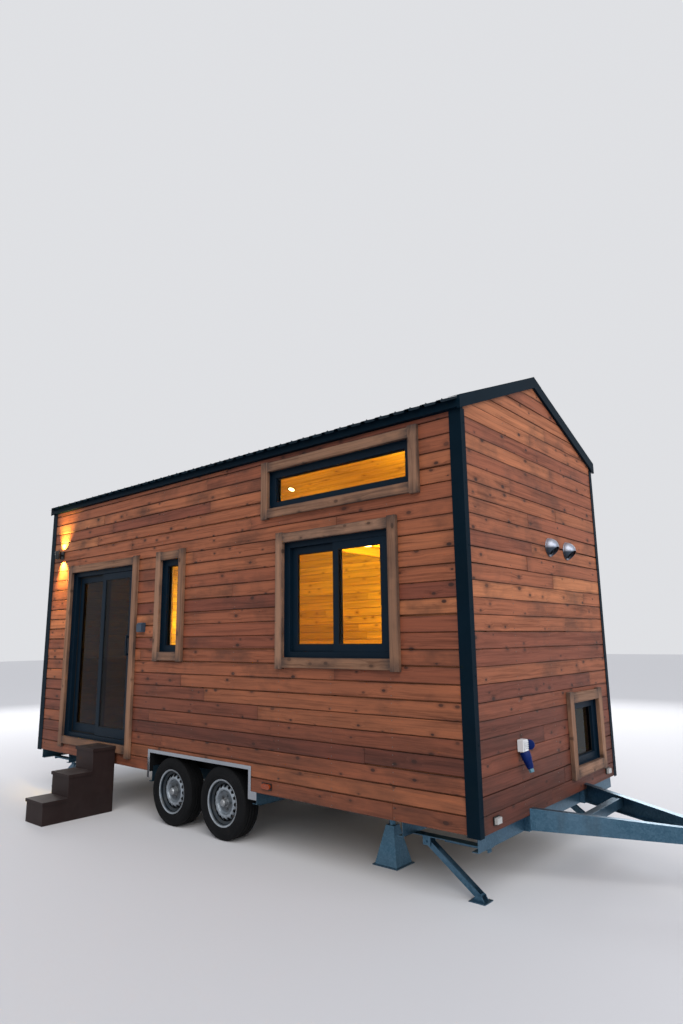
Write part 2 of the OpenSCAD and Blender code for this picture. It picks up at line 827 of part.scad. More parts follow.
// Sliding door: one fixed leaf inside, one leaf that slides in front of it
door_clear_w = door_w - 2 * jamb_w;
door_clear_h = door_h - jamb_w - sill_h;
leaf_w = (door_clear_w + leaf_overlap) / 2 - run_gap;
leaf_h = door_clear_h - 2 * run_gap;
leaf_z = door_sill + sill_h + run_gap;
leaf_out_y = -half_w + frame_set_back + 6;
leaf_in_y = leaf_out_y + leaf_t + leaf_gap;
function leaf_x(side) = -door[0] + side * (door_clear_w / 2 - run_gap - leaf_w / 2);

module door_frame() {
    color(dark_frame) difference() {
        translate([-door[0], 0, door[1]]) along_y(-half_w + frame_set_back, -half_w + frame_set_back + door_depth)
            ring_2d(door_w, door_h, jamb_w, jamb_w, sill_h);
        // Shallow groove between the two tracks of the sill
        block([-door[0] - door_clear_w / 2, leaf_in_y - leaf_gap - 3, door_sill + sill_h - 6],
            [-door[0] + door_clear_w / 2, leaf_in_y - leaf_gap + 3, door_sill + sill_h + 1]);
    }
}

module leaf_ring(y) {
    along_y(y, y + leaf_t) ring_2d(leaf_w, leaf_h, stile_w, stile_w, bottom_rail_h);
}

module leaf_pane(y) {
    block([-leaf_w / 2 + stile_w, y + (leaf_t - pane_t) / 2, bottom_rail_h],
        [leaf_w / 2 - stile_w, y + (leaf_t + pane_t) / 2, leaf_h - stile_w]);
}

module door_fixed_leaf() {
    color(dark_frame) translate([leaf_x(-1), 0, leaf_z]) {
        leaf_ring(leaf_in_y);
        // Blocks that hold the fixed leaf at the sill, the head and the jamb
        for (s = [-0.35, 0.35])
            block([s * leaf_w - 30, leaf_in_y + 6, -run_gap], [s * leaf_w + 30, leaf_in_y + leaf_t - 6, 0]);
        block([-30, leaf_in_y + 6, leaf_h], [30, leaf_in_y + leaf_t - 6, leaf_h + run_gap]);
    }
}

handle_z = 950;
module door_sliding_leaf() {
    color(dark_frame) translate([leaf_x(1), 0, leaf_z]) {
        leaf_ring(leaf_out_y);
        // Rollers under the leaf, on the outer track
        for (s = [-0.36, 0.36])
            translate([s * leaf_w, leaf_out_y + leaf_t / 2 + roller_w / 2, roller_r - run_gap + roller_seat])
                rotate([90, 0, 0]) cylinder(r = roller_r, h = roller_w);
        // Pull handle on the outer stile
        translate([leaf_w / 2 - stile_w / 2, leaf_out_y, handle_z]) {
            for (z = [-90, 90]) block([-8, -28, z - 10], [8, 0, z + 10]);
            block([-8, -40, -110], [8, -28, 110]);
        }
    }
}

module door_sliding_pane() {
    color(clear_glass) translate([leaf_x(1), 0, leaf_z]) leaf_pane(leaf_out_y);
}

// Fittings on the walls
lamp_from_end = house_l - 300;
lamp_z = clad_bot + 2283;
module wall_lamp() {
    color(black_iron) translate([-lamp_from_end, -half_w, lamp_z]) {
        block([-35, -10, -45], [35, 0, 45]);
        block([-12, -30, -12], [12, -10, 12]);
        difference() {
            translate([0, -62, -50]) cylinder(r = 34, h = 100);
            for (z = [-51, 31]) translate([0, -62, z]) cylinder(r = 29, h = 20);
        }
    }
}

socket_from_end = door_from_end - door_w / 2 - surround_w - 115;
module outdoor_socket() {
    color(socket_grey) translate([-socket_from_end, -half_w, clad_bot + 1380]) {
        block([-48, -34, -48], [48, 0, 48]);
        block([-44, -48, -44], [44, -34, 30]);
        translate([-44, -36, 34]) rotate([0, 90, 0]) cylinder(r = 8, h = 88);
    }
}

// Power inlet: a box with a collar that points down and outwards
inlet_y = 615 - half_w;
inlet_z = clad_bot + 480;
inlet_half = 43;
inlet_lean = 20;
module at_collar() {
    translate([31, inlet_y, inlet_z - inlet_half - 12]) rotate([0, -inlet_lean, 0]) children();
}

module power_inlet() {
    color(white_plastic) {
        translate([0, inlet_y, inlet_z]) {
            block([0, -inlet_half, -inlet_half], [46, inlet_half, inlet_half]);
            block([46, -35, -35], [54, 35, 35]);
        }
        at_collar() cylinder(r = 22, h = 22);
    }
}

// Connector seated on the collar, with its gland nut, and the open lid beside the inlet
module inlet_connector() {
    color(blue_plastic) {
        at_collar() {
            translate([0, 0, -66]) cylinder(r = 29, h = 66);
            translate([0, 0, -110]) cylinder(r1 = 20, r2 = 26, h = 44);
            translate([0, 0, -130]) cylinder(r = 17, h = 20);
        }
        translate([36, inlet_y + inlet_half, inlet_z - 4]) rotate([-90, 0, 0]) cylinder(r = 33, h = 7);
    }
}

// Round hoods of the air vents, open at the lower side, with a hollow behind the opening
vent_ys = [126, 490];
module vent_cowls() {
    color(silver) for (y = vent_ys) translate([0, y, clad_bot + 1970]) rotate([0, 90, 0]) difference() {
        union() {
            cylinder(r = 75, h = 5);
            cylinder(r = 62, h = 16);
            translate([0, 0, 16]) sphere(r = 62);
        }
        translate([0, 0, -90]) cylinder(r = 90, h = 90);
        translate([0, 0, 2]) cylinder(r = 54, h = 16);
        translate([28, -54, 14]) cube([60, 108, 90]);
    }
}

// Oval lamp lying on a face that looks along -Y, from the middle of its back
module oval_lamp(w, h, t) {
    along_y(-t, 0) square([w - h, h], center = true);
    for (s = [-1, 1]) translate([s * (w - h) / 2, 0, 0]) rotate([90, 0, 0]) cylinder(r = h / 2, h = t);
}

marker_z = clad_bot + 71;
marker_stations = [1935, house_l - 1500];
end_marker_y = half_w - 215;
rear_lamp_w = 230;
rear_lamp_h = 90;
module marker_lamps() {
    color(amber) {
        both_sides() for (x = marker_stations) translate([-x, -half_w, marker_z]) oval_lamp(100, 40, 22);
        both_sides() translate([0, end_marker_y, marker_z]) block([0, -32, -19], [28, 32, 19]);
        both_sides() translate([rear_x, half_w - 330, marker_z + 10])
            block([-lamp_t, -rear_lamp_w / 2, -rear_lamp_h / 2], [0, rear_lamp_w / 2, rear_lamp_h / 2]);
    }
}

// Box steps in front of the door
module entrance_steps() {
    color(step_brown) translate([-steps_from_end, 0, 0]) {
        along_x(-steps_w / 2, steps_w / 2) polygon(concat(
            [[-steps_y, 0], [-steps_y, steps_n * step_rise - tread_t]],
            [for (k = [1:steps_n], q = [0, 1]) [
                -steps_y - k * step_going, (steps_n - k + 1 - q) * step_rise - tread_t * (k == steps_n && q == 1 ? 0 : 1)
            ]]
        ));
        for (k = [1:steps_n])
            block([-steps_w / 2 - nosing, -steps_y - k * step_going - nosing, (steps_n - k + 1) * step_rise - tread_t],
                [steps_w / 2 + nosing, -steps_y - (k - 1) * step_going, (steps_n - k + 1) * step_rise]);
    }
}

// Stands under the main rails near the drawbar end
module axle_stands() {
    color(zinc) both_sides() translate([-stand_from_end, rail_y, 0]) {
        block([-stand_base / 2, -stand_base / 2, 0], [stand_base / 2, stand_base / 2, 8]);
        translate([0, 0, 8]) rotate([0, 0, 45])
            cylinder(r1 = stand_base * 0.62, r2 = 52, h = chassis_bot - 68, $fn = 4);
        translate([0, 0, chassis_bot - 61]) cylinder(r = 24, h = 49);
        block([-30, -30, chassis_bot - 12], [30, 30, chassis_bot]);
    }
}

// Fixed part of a corner steady, at the drawbar end of the back side
module steady_bracket() {
    translate([0, steady_y, 0]) {
        block([-steady_in - 120, -leg_w / 2 - 12, chassis_bot - plate_t],
            [frame_x - 2, leg_w / 2 + 12, chassis_bot]);
        for (s = [-1, 1])
            block([-steady_in - 30, s * (leg_w / 2 + cheek_gap + cheek_t / 2) - cheek_t / 2, pivot_z - 22],
                [-steady_in + 30, s * (leg_w / 2 + cheek_gap + cheek_t / 2) + cheek_t / 2, chassis_bot - plate_t]);
        translate([-steady_in, leg_w / 2 + cheek_gap + cheek_t + 8, pivot_z]) rotate([90, 0, 0])
            cylinder(r = pin_r, h = leg_w + 2 * cheek_gap + 2 * cheek_t + 16);
        // Screw that draws the leg up, with its end plate
        translate([-steady_in + 130, 0, pivot_z + 22]) rotate([0, 90, 0])
            cylinder(r = 7, h = steady_in - 130 - 46);
        block([-62, -18, pivot_z + 8], [-50, 18, chassis_bot - plate_t]);
    }
}

module steady_brackets() {
    color(zinc) both_ends() both_sides() steady_bracket();
}

// Swinging leg: a slotted channel with a foot plate, let down to the ground
slot_from = 70;
slot_to = 400;
slot_w = 20;
module steady_leg() {
    translate([-steady_in, steady_y, pivot_z]) {
        rotate([0, leg_angle, 0]) difference() {
            along_y(-leg_w / 2, leg_w / 2) {
                circle(r = leg_h / 2);
                translate([0, -leg_h / 2]) square([leg_len, leg_h]);
            }
            block([-leg_h, -leg_w / 2 + leg_wall, -leg_h / 2 + leg_wall], [leg_len - 12, leg_w / 2 - leg_wall, leg_h]);
            block([slot_from, -slot_w / 2, -leg_h], [slot_to, slot_w / 2, 0]);
            translate([0, leg_w, 0]) rotate([90, 0, 0]) cylinder(r = pin_r + 0.05, h = 2 * leg_w);
        }
        // Foot plate
        translate([leg_len * cos(leg_angle), 0, -pivot_z])
            block([-70, -55, 0], [50, 55, 6]);
        // Lugs that carry the foot plate outside the leg
        for (s = [-1, 1])
            translate([leg_len * cos(leg_angle), s * (leg_w / 2 + lug_t / 2 - 1), -pivot_z])
                along_y(-lug_t / 2, lug_t / 2) polygon([
                    [-60, 5], [30, 5], [12, foot_up + 16], [-24, foot_up + 16]
                ]);
    }
}

module steady_leg_door_side_fore() { color(zinc) mirror([0, 1, 0]) steady_leg(); }
module steady_leg_back_side_fore() { color(zinc) steady_leg(); }
module steady_leg_door_side_aft() {
    color(zinc) translate([-house_l, 0, 0]) mirror([1, 0, 0]) mirror([0, 1, 0]) steady_leg();
}
module steady_leg_back_side_aft() {
    color(zinc) translate([-house_l, 0, 0]) mirror([1, 0, 0]) steady_leg();
}

// Wheel: local +Z points away from the house, the middle of the tyre is at 0
tread_half = tyre_w * 0.38;
groove_w = 8;
groove_d = 6;
grooves = [-32, 0, 32];
side_bulge = tyre_w / 2;
module tyre_2d() {
    polygon(concat(
        [[bead_r + 0.4, 48], [bead_r + 0.4, 65.6], [bead_r + 4.4, 71.4], [rim_r + 0.5, 75.4]],
        [[202, 84], [225, side_bulge], [tyre_r - 46, side_bulge], [tyre_r - 16, side_bulge - 7]],
        [[tyre_r - 4, tread_half + 6], [tyre_r, tread_half]],
        [for (g = reversed(grooves), q = [[0, 1], [-groove_d, 1], [-groove_d, -1], [0, -1]])
            [tyre_r + q[0], g + q[1] * groove_w / 2]],
        [[tyre_r, -tread_half], [tyre_r - 4, -tread_half - 6]],
        [[tyre_r - 16, -side_bulge + 7], [tyre_r - 46, -side_bulge], [225, -side_bulge], [202, -84]],
        [[rim_r + 0.5, -75.4], [bead_r + 4.4, -71.4], [bead_r + 0.4, -65.6], [bead_r + 0.4, -48]],
        [[186, -48], [192, -62], [206, -74], [228, -side_bulge + 9], [tyre_r - 48, -side_bulge + 9]],
        [[tyre_r - 24, -side_bulge + 18], [tyre_r - 15, -tread_half + 4]],
        [[tyre_r - 15, tread_half - 4], [tyre_r - 24, side_bulge - 18]],
        [[tyre_r - 48, side_bulge - 9], [228, side_bulge - 9], [206, 74], [192, 62], [186, 48]]
    ));
}

vent_n = 16;
vent_ring_r = 137;
vent_r = 10;
bolt_n = 5;
bolt_ring_r = 56;
module rim_shape() {
    difference() {
        rotate_extrude($fn = 96) polygon([
            [195, 76], [182, 72], [178, 66], [178, 48], [158, 36], [158, -22], [178, -40], [178, -66],
            [182, -72], [195, -76], [195, -80], [180, -76], [174, -69], [174, -43], [154, -25],
            [154, 12], [150, 18], [141, 32], [129, 43], [112, 47.5], [103, 43], [96, 32], [84, 27],
            [34, 27], [34, 32], [82, 32], [92, 36.5], [100, 49], [112, 53], [130, 48.5], [145, 37],
            [154, 22], [154, 39], [174, 51], [174, 69], [180, 76], [195, 80]
        ]);
        for (k = [0:vent_n - 1]) rotate([0, 0, k * 360 / vent_n]) translate([vent_ring_r, 0, 0])
            cylinder(r = vent_r, h = 60, $fn = 24);
    }
}

module hub_shape() {
    difference() {
        union() {
            translate([0, 0, drum_in]) cylinder(r = drum_r, h = nave_z - drum_in);
            translate([0, 0, nave_z]) cylinder(r = 33.9, h = 5);
            translate([0, 0, nave_z + 5]) cylinder(r = 31, h = 40);
            translate([0, 0, nave_z + 45]) cylinder(r1 = 31, r2 = 22, h = 9);
        }
        translate([0, 0, drum_in - 1]) cylinder(r = hub_bore_r, h = 78);
    }
    for (k = [0:bolt_n - 1]) rotate([0, 0, k * 360 / bolt_n]) translate([bolt_ring_r, 0, nave_z])
        cylinder(r = 10, h = 17, $fn = 6);
}

module at_wheel(x, side) {
    translate([x, side * wheel_y, tyre_r]) rotate([-side * 90, 0, 0]) children();
}

module tyre(x, side) {
    color(rubber) at_wheel(x, side) rotate_extrude($fn = 96) tyre_2d();
}

module rim(x, side) {
    color(silver) at_wheel(x, side) {
        rim_shape();
        hub_shape();
    }
}

module tyre_door_side_fore() { tyre(fore_x, -1); }
module tyre_door_side_aft() { tyre(aft_x, -1); }
module tyre_back_side_fore() { tyre(fore_x, 1); }
module tyre_back_side_aft() { tyre(aft_x, 1); }
module rim_door_side_fore() { rim(fore_x, -1); }
module rim_door_side_aft() { rim(aft_x, -1); }
module rim_back_side_fore() { rim(fore_x, 1); }
module rim_back_side_aft() { rim(aft_x, 1); }

placed() chassis_rails();
placed() chassis_cross_members();
placed() drawbar_arms();
placed() overrun_coupling();
placed() coupling_head();
placed() axles();
placed() wheel_boxes();
placed() wheel_arch_trims();
placed() floor_deck();
placed() floor_boards();
placed() door_side_wall();
placed() back_side_wall();
placed() drawbar_end_wall();
placed() rear_end_wall();
placed() door_side_cladding();
placed() back_side_cladding();
placed() drawbar_end_cladding();
placed() rear_end_cladding();
placed() wall_linings();
placed() loft_floor();
placed() roof_panels();
placed() roof_sheets();
placed() ridge_cap();
placed() verge_trims();
placed() eave_trims();
placed() corner_trims();
placed() door_surround();
placed() window_surrounds();
placed() door_frame();
placed() door_fixed_leaf();
placed() kitchen_window();
placed() loft_windows();
placed() narrow_window();
placed() end_window();
placed() window_panes();
placed() wall_lamp();
placed() outdoor_socket();
placed() power_inlet();
placed() inlet_connector();
placed() vent_cowls();
placed() marker_lamps();
placed() entrance_steps();
placed() axle_stands();
placed() steady_brackets();
placed() door_sliding_leaf();
placed() door_sliding_pane();
placed() tyre_door_side_fore();
placed() tyre_door_side_aft();
placed() tyre_back_side_fore();
placed() tyre_back_side_aft();
placed() rim_door_side_fore();
placed() rim_door_side_aft();
placed() rim_back_side_fore();
placed() rim_back_side_aft();
placed() steady_leg_door_side_fore();
placed() steady_leg_door_side_aft();
placed() steady_leg_back_side_fore();
placed() steady_leg_back_side_aft();
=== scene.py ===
# %% [markdown]
# # A tiny house on wheels
# This lesson dresses a small timber house that stands on a twin-axle trailer.
# The steel, the walls and the windows come from the part's own solids, so the work here is boards, screws,
# hoods over the vents, lamps and finishes.
# Loading comes first, because every later piece is measured from the loaded frame.

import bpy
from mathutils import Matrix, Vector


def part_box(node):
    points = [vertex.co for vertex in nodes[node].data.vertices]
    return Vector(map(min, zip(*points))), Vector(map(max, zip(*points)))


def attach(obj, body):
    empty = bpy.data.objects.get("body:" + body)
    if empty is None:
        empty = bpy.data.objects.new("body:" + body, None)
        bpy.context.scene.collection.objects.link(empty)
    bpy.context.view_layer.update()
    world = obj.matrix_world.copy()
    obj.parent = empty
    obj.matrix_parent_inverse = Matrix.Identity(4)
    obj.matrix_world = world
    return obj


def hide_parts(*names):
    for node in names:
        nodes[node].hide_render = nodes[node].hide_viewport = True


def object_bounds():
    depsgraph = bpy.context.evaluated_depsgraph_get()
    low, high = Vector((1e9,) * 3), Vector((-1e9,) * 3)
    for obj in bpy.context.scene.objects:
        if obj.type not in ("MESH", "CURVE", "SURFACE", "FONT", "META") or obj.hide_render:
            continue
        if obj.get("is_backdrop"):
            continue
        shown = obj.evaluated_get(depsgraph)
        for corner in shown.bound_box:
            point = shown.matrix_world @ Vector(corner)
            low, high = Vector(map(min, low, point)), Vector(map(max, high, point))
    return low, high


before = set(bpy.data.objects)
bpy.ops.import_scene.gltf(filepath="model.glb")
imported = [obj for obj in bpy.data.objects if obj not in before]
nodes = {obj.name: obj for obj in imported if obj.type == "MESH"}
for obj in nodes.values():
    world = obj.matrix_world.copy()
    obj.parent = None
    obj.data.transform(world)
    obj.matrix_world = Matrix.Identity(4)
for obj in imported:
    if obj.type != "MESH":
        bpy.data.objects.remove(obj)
frame_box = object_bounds()

# %% Tools for the lesson
import math
import random

import bmesh
import bpy
import numpy as np
from mathutils import Matrix, Vector

chance = random.Random(41)
print("the same chance each run", round(chance.random(), 4))

# %% [markdown]
# ## Camera
# The photograph was taken from the drawbar end, low down, with a short lens that looks a little upwards.
# The lens and the angles come from lines on the house that are known to be level or upright.
# A camera can be turned by three angles, but a matrix of its right, up and back directions leaves no doubt
# about their order.

# %% Place the camera
def placed(name, data):
    """An object with this data, put into the scene."""
    made = bpy.data.objects.new(name, data)
    bpy.context.scene.collection.objects.link(made)
    return made


turn, rise, lean = math.radians(130.389), math.radians(10.895), math.radians(-0.676)
forward = Vector((math.cos(rise) * math.cos(turn), math.cos(rise) * math.sin(turn), math.sin(rise)))
level_right = Vector((math.sin(turn), -math.cos(turn), 0))
level_up = level_right.cross(forward)
right = level_right * math.cos(lean) + level_up * math.sin(lean)
up = level_up * math.cos(lean) - level_right * math.sin(lean)
end_low, end_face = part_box("drawbar_end_cladding")
middle_y = (end_low.y + end_face.y) / 2
boards_bottom = end_low.z
eye = Vector((end_face.x + 2.230, middle_y - 5.170, boards_bottom + 1.238))
focal_px, image_high_px, sensor = 660.36, 1024, 36
camera_data = bpy.data.cameras.new("camera")
camera_data.sensor_width = sensor
camera_data.lens = focal_px / image_high_px * sensor
camera = placed("camera", camera_data)
camera.matrix_world = Matrix.Translation(eye) @ Matrix((right, up, -forward)).transposed().to_4x4()
bpy.context.scene.camera = camera
print("camera at", [round(v, 3) for v in eye], "lens", round(camera_data.lens, 2))

# %% [markdown]
# ## Wiring a finish
# Every finish is a small graph of nodes that ends in one Principled shader.
# The nodes could be placed and linked one by one, but a plain word for each kind keeps the graph readable.
# A finish then reads like a list of what the surface has: a grain, a stain, a little dust.

# %% Put a node
def put(tree, kind, sockets=None, **settings):
    """A node with its settings, and for each socket a number or another node's output."""
    made = tree.nodes.new("ShaderNode" + kind)
    for key, value in settings.items():
        setattr(made, key, value)
    for key, value in (sockets or {}).items():
        if isinstance(value, bpy.types.NodeSocket):
            tree.links.new(value, made.inputs[key])
        else:
            made.inputs[key].default_value = value
    return made


print("kinds of shader node", sum(kind.startswith("ShaderNode") for kind in dir(bpy.types)))

# %% A finish and its words
class Finish:
    """A material with one Principled shader, and a word for each kind of node that feeds it."""

    def __init__(self, name, rough=0.5, metallic=0.0, colour=(0.5, 0.5, 0.5), shine=0.5):
        self.material = bpy.data.materials.new(name)
        self.material.use_nodes = True
        self.tree = self.material.node_tree
        self.shader = self.tree.nodes["Principled BSDF"]
        for socket, value in (
                ("Roughness", rough), ("Metallic", metallic), ("Base Color", (*colour, 1)),
                ("Specular IOR Level", shine)):
            self.shader.inputs[socket].default_value = value

    def feed(self, socket, value):
        self.tree.links.new(value, self.shader.inputs[socket])

    def here(self):
        """The part's own coordinates, in which a pattern keeps its true size."""
        return put(self.tree, "TexCoord").outputs["Object"]

    def note(self, name, kind="Fac"):
        """What the mesh says at each corner under this name."""
        return put(self.tree, "Attribute", attribute_name=name).outputs[kind]

    def split(self, vector):
        return put(self.tree, "SeparateXYZ", {0: vector}).outputs

    def maths(self, operation, *values, clamp=False):
        return put(self.tree, "Math", dict(enumerate(values)), operation=operation, use_clamp=clamp).outputs[0]

    def times(self, a, b):
        return self.maths("MULTIPLY", a, b)

    def plus(self, a, b):
        return self.maths("ADD", a, b)

    def minus(self, a, b):
        return self.maths("SUBTRACT", a, b)

    def length(self, a, b):
        return self.maths("SQRT", self.plus(self.times(a, a), self.times(b, b)))

    def spread(self, value, low, high, start, end):
        """A value carried from one range to another."""
        return put(self.tree, "MapRange", {0: value, 1: low, 2: high, 3: start, 4: end}).outputs[0]

    def mapped(self, where, scale):
        return put(self.tree, "Mapping", {"Vector": where, "Scale": scale}).outputs["Vector"]

    def noise(self, where, scale, detail=2.0, rough=0.5, bend=0.0):
        """Cloudy spots; three scales stretch them along the axes."""
        if isinstance(scale, tuple):
            where, scale = self.mapped(where, scale), 1.0
        return put(self.tree, "TexNoise", {
            "Vector": where, "Scale": scale, "Detail": detail, "Roughness": rough,
            "Distortion": bend}).outputs["Fac"]

    def ramp(self, value, *stops, steps=False):
        """A band of (place, colour) pairs; a bare number is a grey."""
        made = put(self.tree, "ValToRGB", {"Fac": value})
        band = made.color_ramp
        while len(band.elements) < len(stops):
            band.elements.new(0.5)
        for element, (place, colour) in zip(band.elements, stops):
            element.position = place
            element.color = (*colour, 1) if isinstance(colour, tuple) else (colour, colour, colour, 1)
        if steps:
            band.interpolation = "CONSTANT"
        return made.outputs["Color"]

    def mix(self, share, a, b, how="MIX"):
        a, b = (v if isinstance(v, bpy.types.NodeSocket) else (*v, 1) for v in (a, b))
        return put(self.tree, "Mix", {0: share, 6: a, 7: b}, data_type="RGBA", blend_type=how).outputs[2]

    def raised(self, height, distance, strength):
        bump = put(self.tree, "Bump", {"Height": height, "Distance": distance, "Strength": strength})
        self.feed("Normal", bump.outputs["Normal"])


print("words of a finish", len([word for word in vars(Finish) if not word.startswith("_")]))

# %% [markdown]
# ## Floor and light
# The house is shown on a pale floor in soft, plain light, so that its own colours read as they are.
# A broad sun behind the camera gives form, three round lamps fill the gable, the back and the rear, and the
# pale world does the rest.
# The world shows paler than it shines: its nodes ask whether a ray comes from the camera, off a mirror or
# through glass, so no light has to be turned up for the background.

# %% Floor
floor_half = 60
floor_mesh = bpy.data.meshes.new("floor")
floor_mesh.from_pydata(
    [(x * floor_half, y * floor_half, 0) for x, y in ((-1, -1), (1, -1), (1, 1), (-1, 1))], [], [(0, 1, 2, 3)])
floor_mesh.materials.append(Finish("pale floor", 0.9, colour=(0.62, 0.62, 0.64)).material)
floor = placed("floor", floor_mesh)
floor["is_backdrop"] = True
print("floor of", floor.dimensions.x, "m")

# %% World
world = bpy.data.worlds.new("studio")
bpy.context.scene.world = world
world.use_nodes = True
sky = world.node_tree
lit = sky.nodes["Background"]
lit.inputs["Color"].default_value = (0.86, 0.91, 1.0, 1)
lit.inputs["Strength"].default_value = 0.55
shown = put(sky, "Background", {"Color": (0.86, 0.87, 0.90, 1), "Strength": 0.86})
rays = put(sky, "LightPath").outputs
seen = put(sky, "Math", {0: rays["Is Camera Ray"], 1: rays["Is Glossy Ray"]}, operation="MAXIMUM")
seen = put(sky, "Math", {0: seen.outputs[0], 1: rays["Is Transmission Ray"]}, operation="MAXIMUM")
choose = put(sky, "MixShader", {0: seen.outputs[0], 1: lit.outputs[0], 2: shown.outputs[0]})
sky.links.new(choose.outputs[0], sky.nodes["World Output"].inputs["Surface"])
print("world nodes", len(sky.nodes))

# %% Studio lamps
def light(name, kind, place, power, colour=(1, 1, 1), way=None, **settings):
    """A lamp of the scene; way is the direction in which it looks."""
    data = bpy.data.lights.new(name, kind)
    data.energy, data.color = power, colour
    for key, value in settings.items():
        setattr(data, key, value)
    lamp = placed(name, data)
    lamp.location = place
    if way is not None:
        lamp.rotation_mode = "QUATERNION"
        lamp.rotation_quaternion = Vector(way).to_track_quat("-Z", "Y")
    return lamp


for name, place, target, size, power, colour in (
        ("gable lamp", (11.0, 1.0, 5.5), (2.0, 0, 1.8), 5.0, 240, (0.84, 0.91, 1.0)),
        ("back lamp", (-1.0, 12.0, 6.5), (-0.6, 0, 1.8), 6.0, 540, (1, 1, 1)),
        ("rear lamp", (-13.0, 2.0, 5.5), (-3.0, 0, 1.8), 5.0, 420, (1, 1, 1))):
    light(name, "AREA", place, power, colour, Vector(target) - Vector(place), shape="DISK", size=size)
light("key lamp", "SUN", (0, 0, 0), 2.1, (1.0, 0.97, 0.94), (-0.80, 0.72, -0.85), angle=math.radians(55))
print("studio lamps", len(bpy.data.lights))

# %% [markdown]
# ## Helpers for pieces
# Most of what is made here is a long run of like things: boards, screws, bars.
# Each run could be a modifier, but one mesh from lists of corners and faces is quick, exact and easy to
# read back.
# A piece then rides on the house or on a moving body, and has one finish.

# %% Make a piece
def write_notes(mesh, notes):
    """Values that a finish reads at each corner: one number, or three."""
    for key, values in notes.items():
        values = np.asarray(values, np.float32)
        wide = values.ndim == 2
        kept = mesh.attributes.new(key, "FLOAT_VECTOR" if wide else "FLOAT", "POINT")
        kept.data.foreach_set("vector" if wide else "value", values.ravel())


def make_piece(name, shape, finish, body="house", smooth=False):
    """One mesh in the row frame that rides on a body; a shape is corners, faces and notes."""
    corners, faces, notes = shape
    mesh = bpy.data.meshes.new(name)
    mesh.from_pydata([tuple(c) for c in corners], [], faces)
    write_notes(mesh, notes)
    if smooth:
        mesh.polygons.foreach_set("use_smooth", [True] * len(mesh.polygons))
        mesh.set_sharp_from_angle(angle=math.radians(35))
    mesh.materials.append(finish.material)
    piece = placed(name, mesh)
    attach(piece, body)
    print(name, "faces", len(mesh.polygons))
    return piece


def joined(*shapes):
    """Several shapes as one."""
    corners, faces, notes = [], [], {}
    for more, rings, values in shapes:
        faces += [[k + len(corners) for k in ring] for ring in rings]
        corners += more
        for key, run in values.items():
            notes.setdefault(key, []).extend(run)
    return corners, faces, notes


print("no shapes join to", joined())

# %% Finish the solids of the frame
def named(start):
    """The nodes whose names start like this."""
    return sorted(name for name in nodes if name.startswith(start))


def dress(finish, *names):
    """Gives solids of the frame their finish."""
    for name in names:
        nodes[name].data.materials.clear()
        nodes[name].data.materials.append(finish.material)


def eased(width, finish, *names):
    """The solids keep their shape; a weld and a narrow bevel let their edges catch the light."""
    for name in names:
        nodes[name].modifiers.new("weld", "WELD").merge_threshold = 0.00005
        bevel = nodes[name].modifiers.new("eased edge", "BEVEL")
        bevel.width, bevel.segments = width, 2
        bevel.limit_method, bevel.angle_limit = "ANGLE", math.radians(40)
    dress(finish, *names)


print("wheels", named("rim_"))

# %% [markdown]
# ## Stained boards
# The cladding is softwood under a warm oil stain: each board took it differently, from honey to red brown.
# Grain runs along a board, knots are small and dark, and rain has drawn darker patches where water stands.
# A picture of wood would repeat, so each board carries its own tone and its own place in the grain, and nodes
# draw the rest.

# %% Grain and knots
knot_cells = 4.4, 7.6


def knots_and_grain(f, grain):
    """How light each spot of the grain is, and how near a knot it is; the grain bends round the knots."""
    cells = put(f.tree, "TexVoronoi", {"Vector": f.mapped(grain, (*knot_cells, 0)), "Scale": 1.0},
                voronoi_dimensions="2D").outputs
    drawn = put(f.tree, "SeparateColor", {0: cells["Color"]}).outputs
    has_knot = f.times(f.maths("GREATER_THAN", drawn[0], 0.47), f.maths("MULTIPLY_ADD", drawn[2], 0.3, 0.7))
    apart = f.maths("DIVIDE", cells["Distance"], f.maths("MULTIPLY_ADD", drawn[1], 0.90, 0.42))
    near_knot = f.times(has_knot, f.ramp(apart, (0.0, 1), (0.070, 0.95), (0.095, 0.35), (0.22, 0)))
    swirl = f.times(has_knot, f.ramp(apart, (0.0, 1), (0.2, 0.45), (0.5, 0)))
    pushed = f.plus(f.times(swirl, 0.016), f.times(f.noise(grain, (1.3, 5, 5)), 0.045))
    sideways = put(f.tree, "CombineXYZ", {1: pushed, 2: pushed}).outputs[0]
    bent = put(f.tree, "VectorMath", {0: grain, 1: sideways}, operation="ADD").outputs[0]
    lines = f.noise(bent, (2.2, 110, 110), 4.0, 0.6)
    rings = f.noise(bent, (0.9, 30, 30), 1.0, bend=0.4)
    return f.plus(f.times(lines, 0.5), f.times(rings, 0.5)), near_knot


print("room for a knot in every", [round(1 / k, 2) for k in knot_cells], "m")

# %% Rain and damp
damp_from, splash_top, end_soak = 0.50, 1.75, 0.11


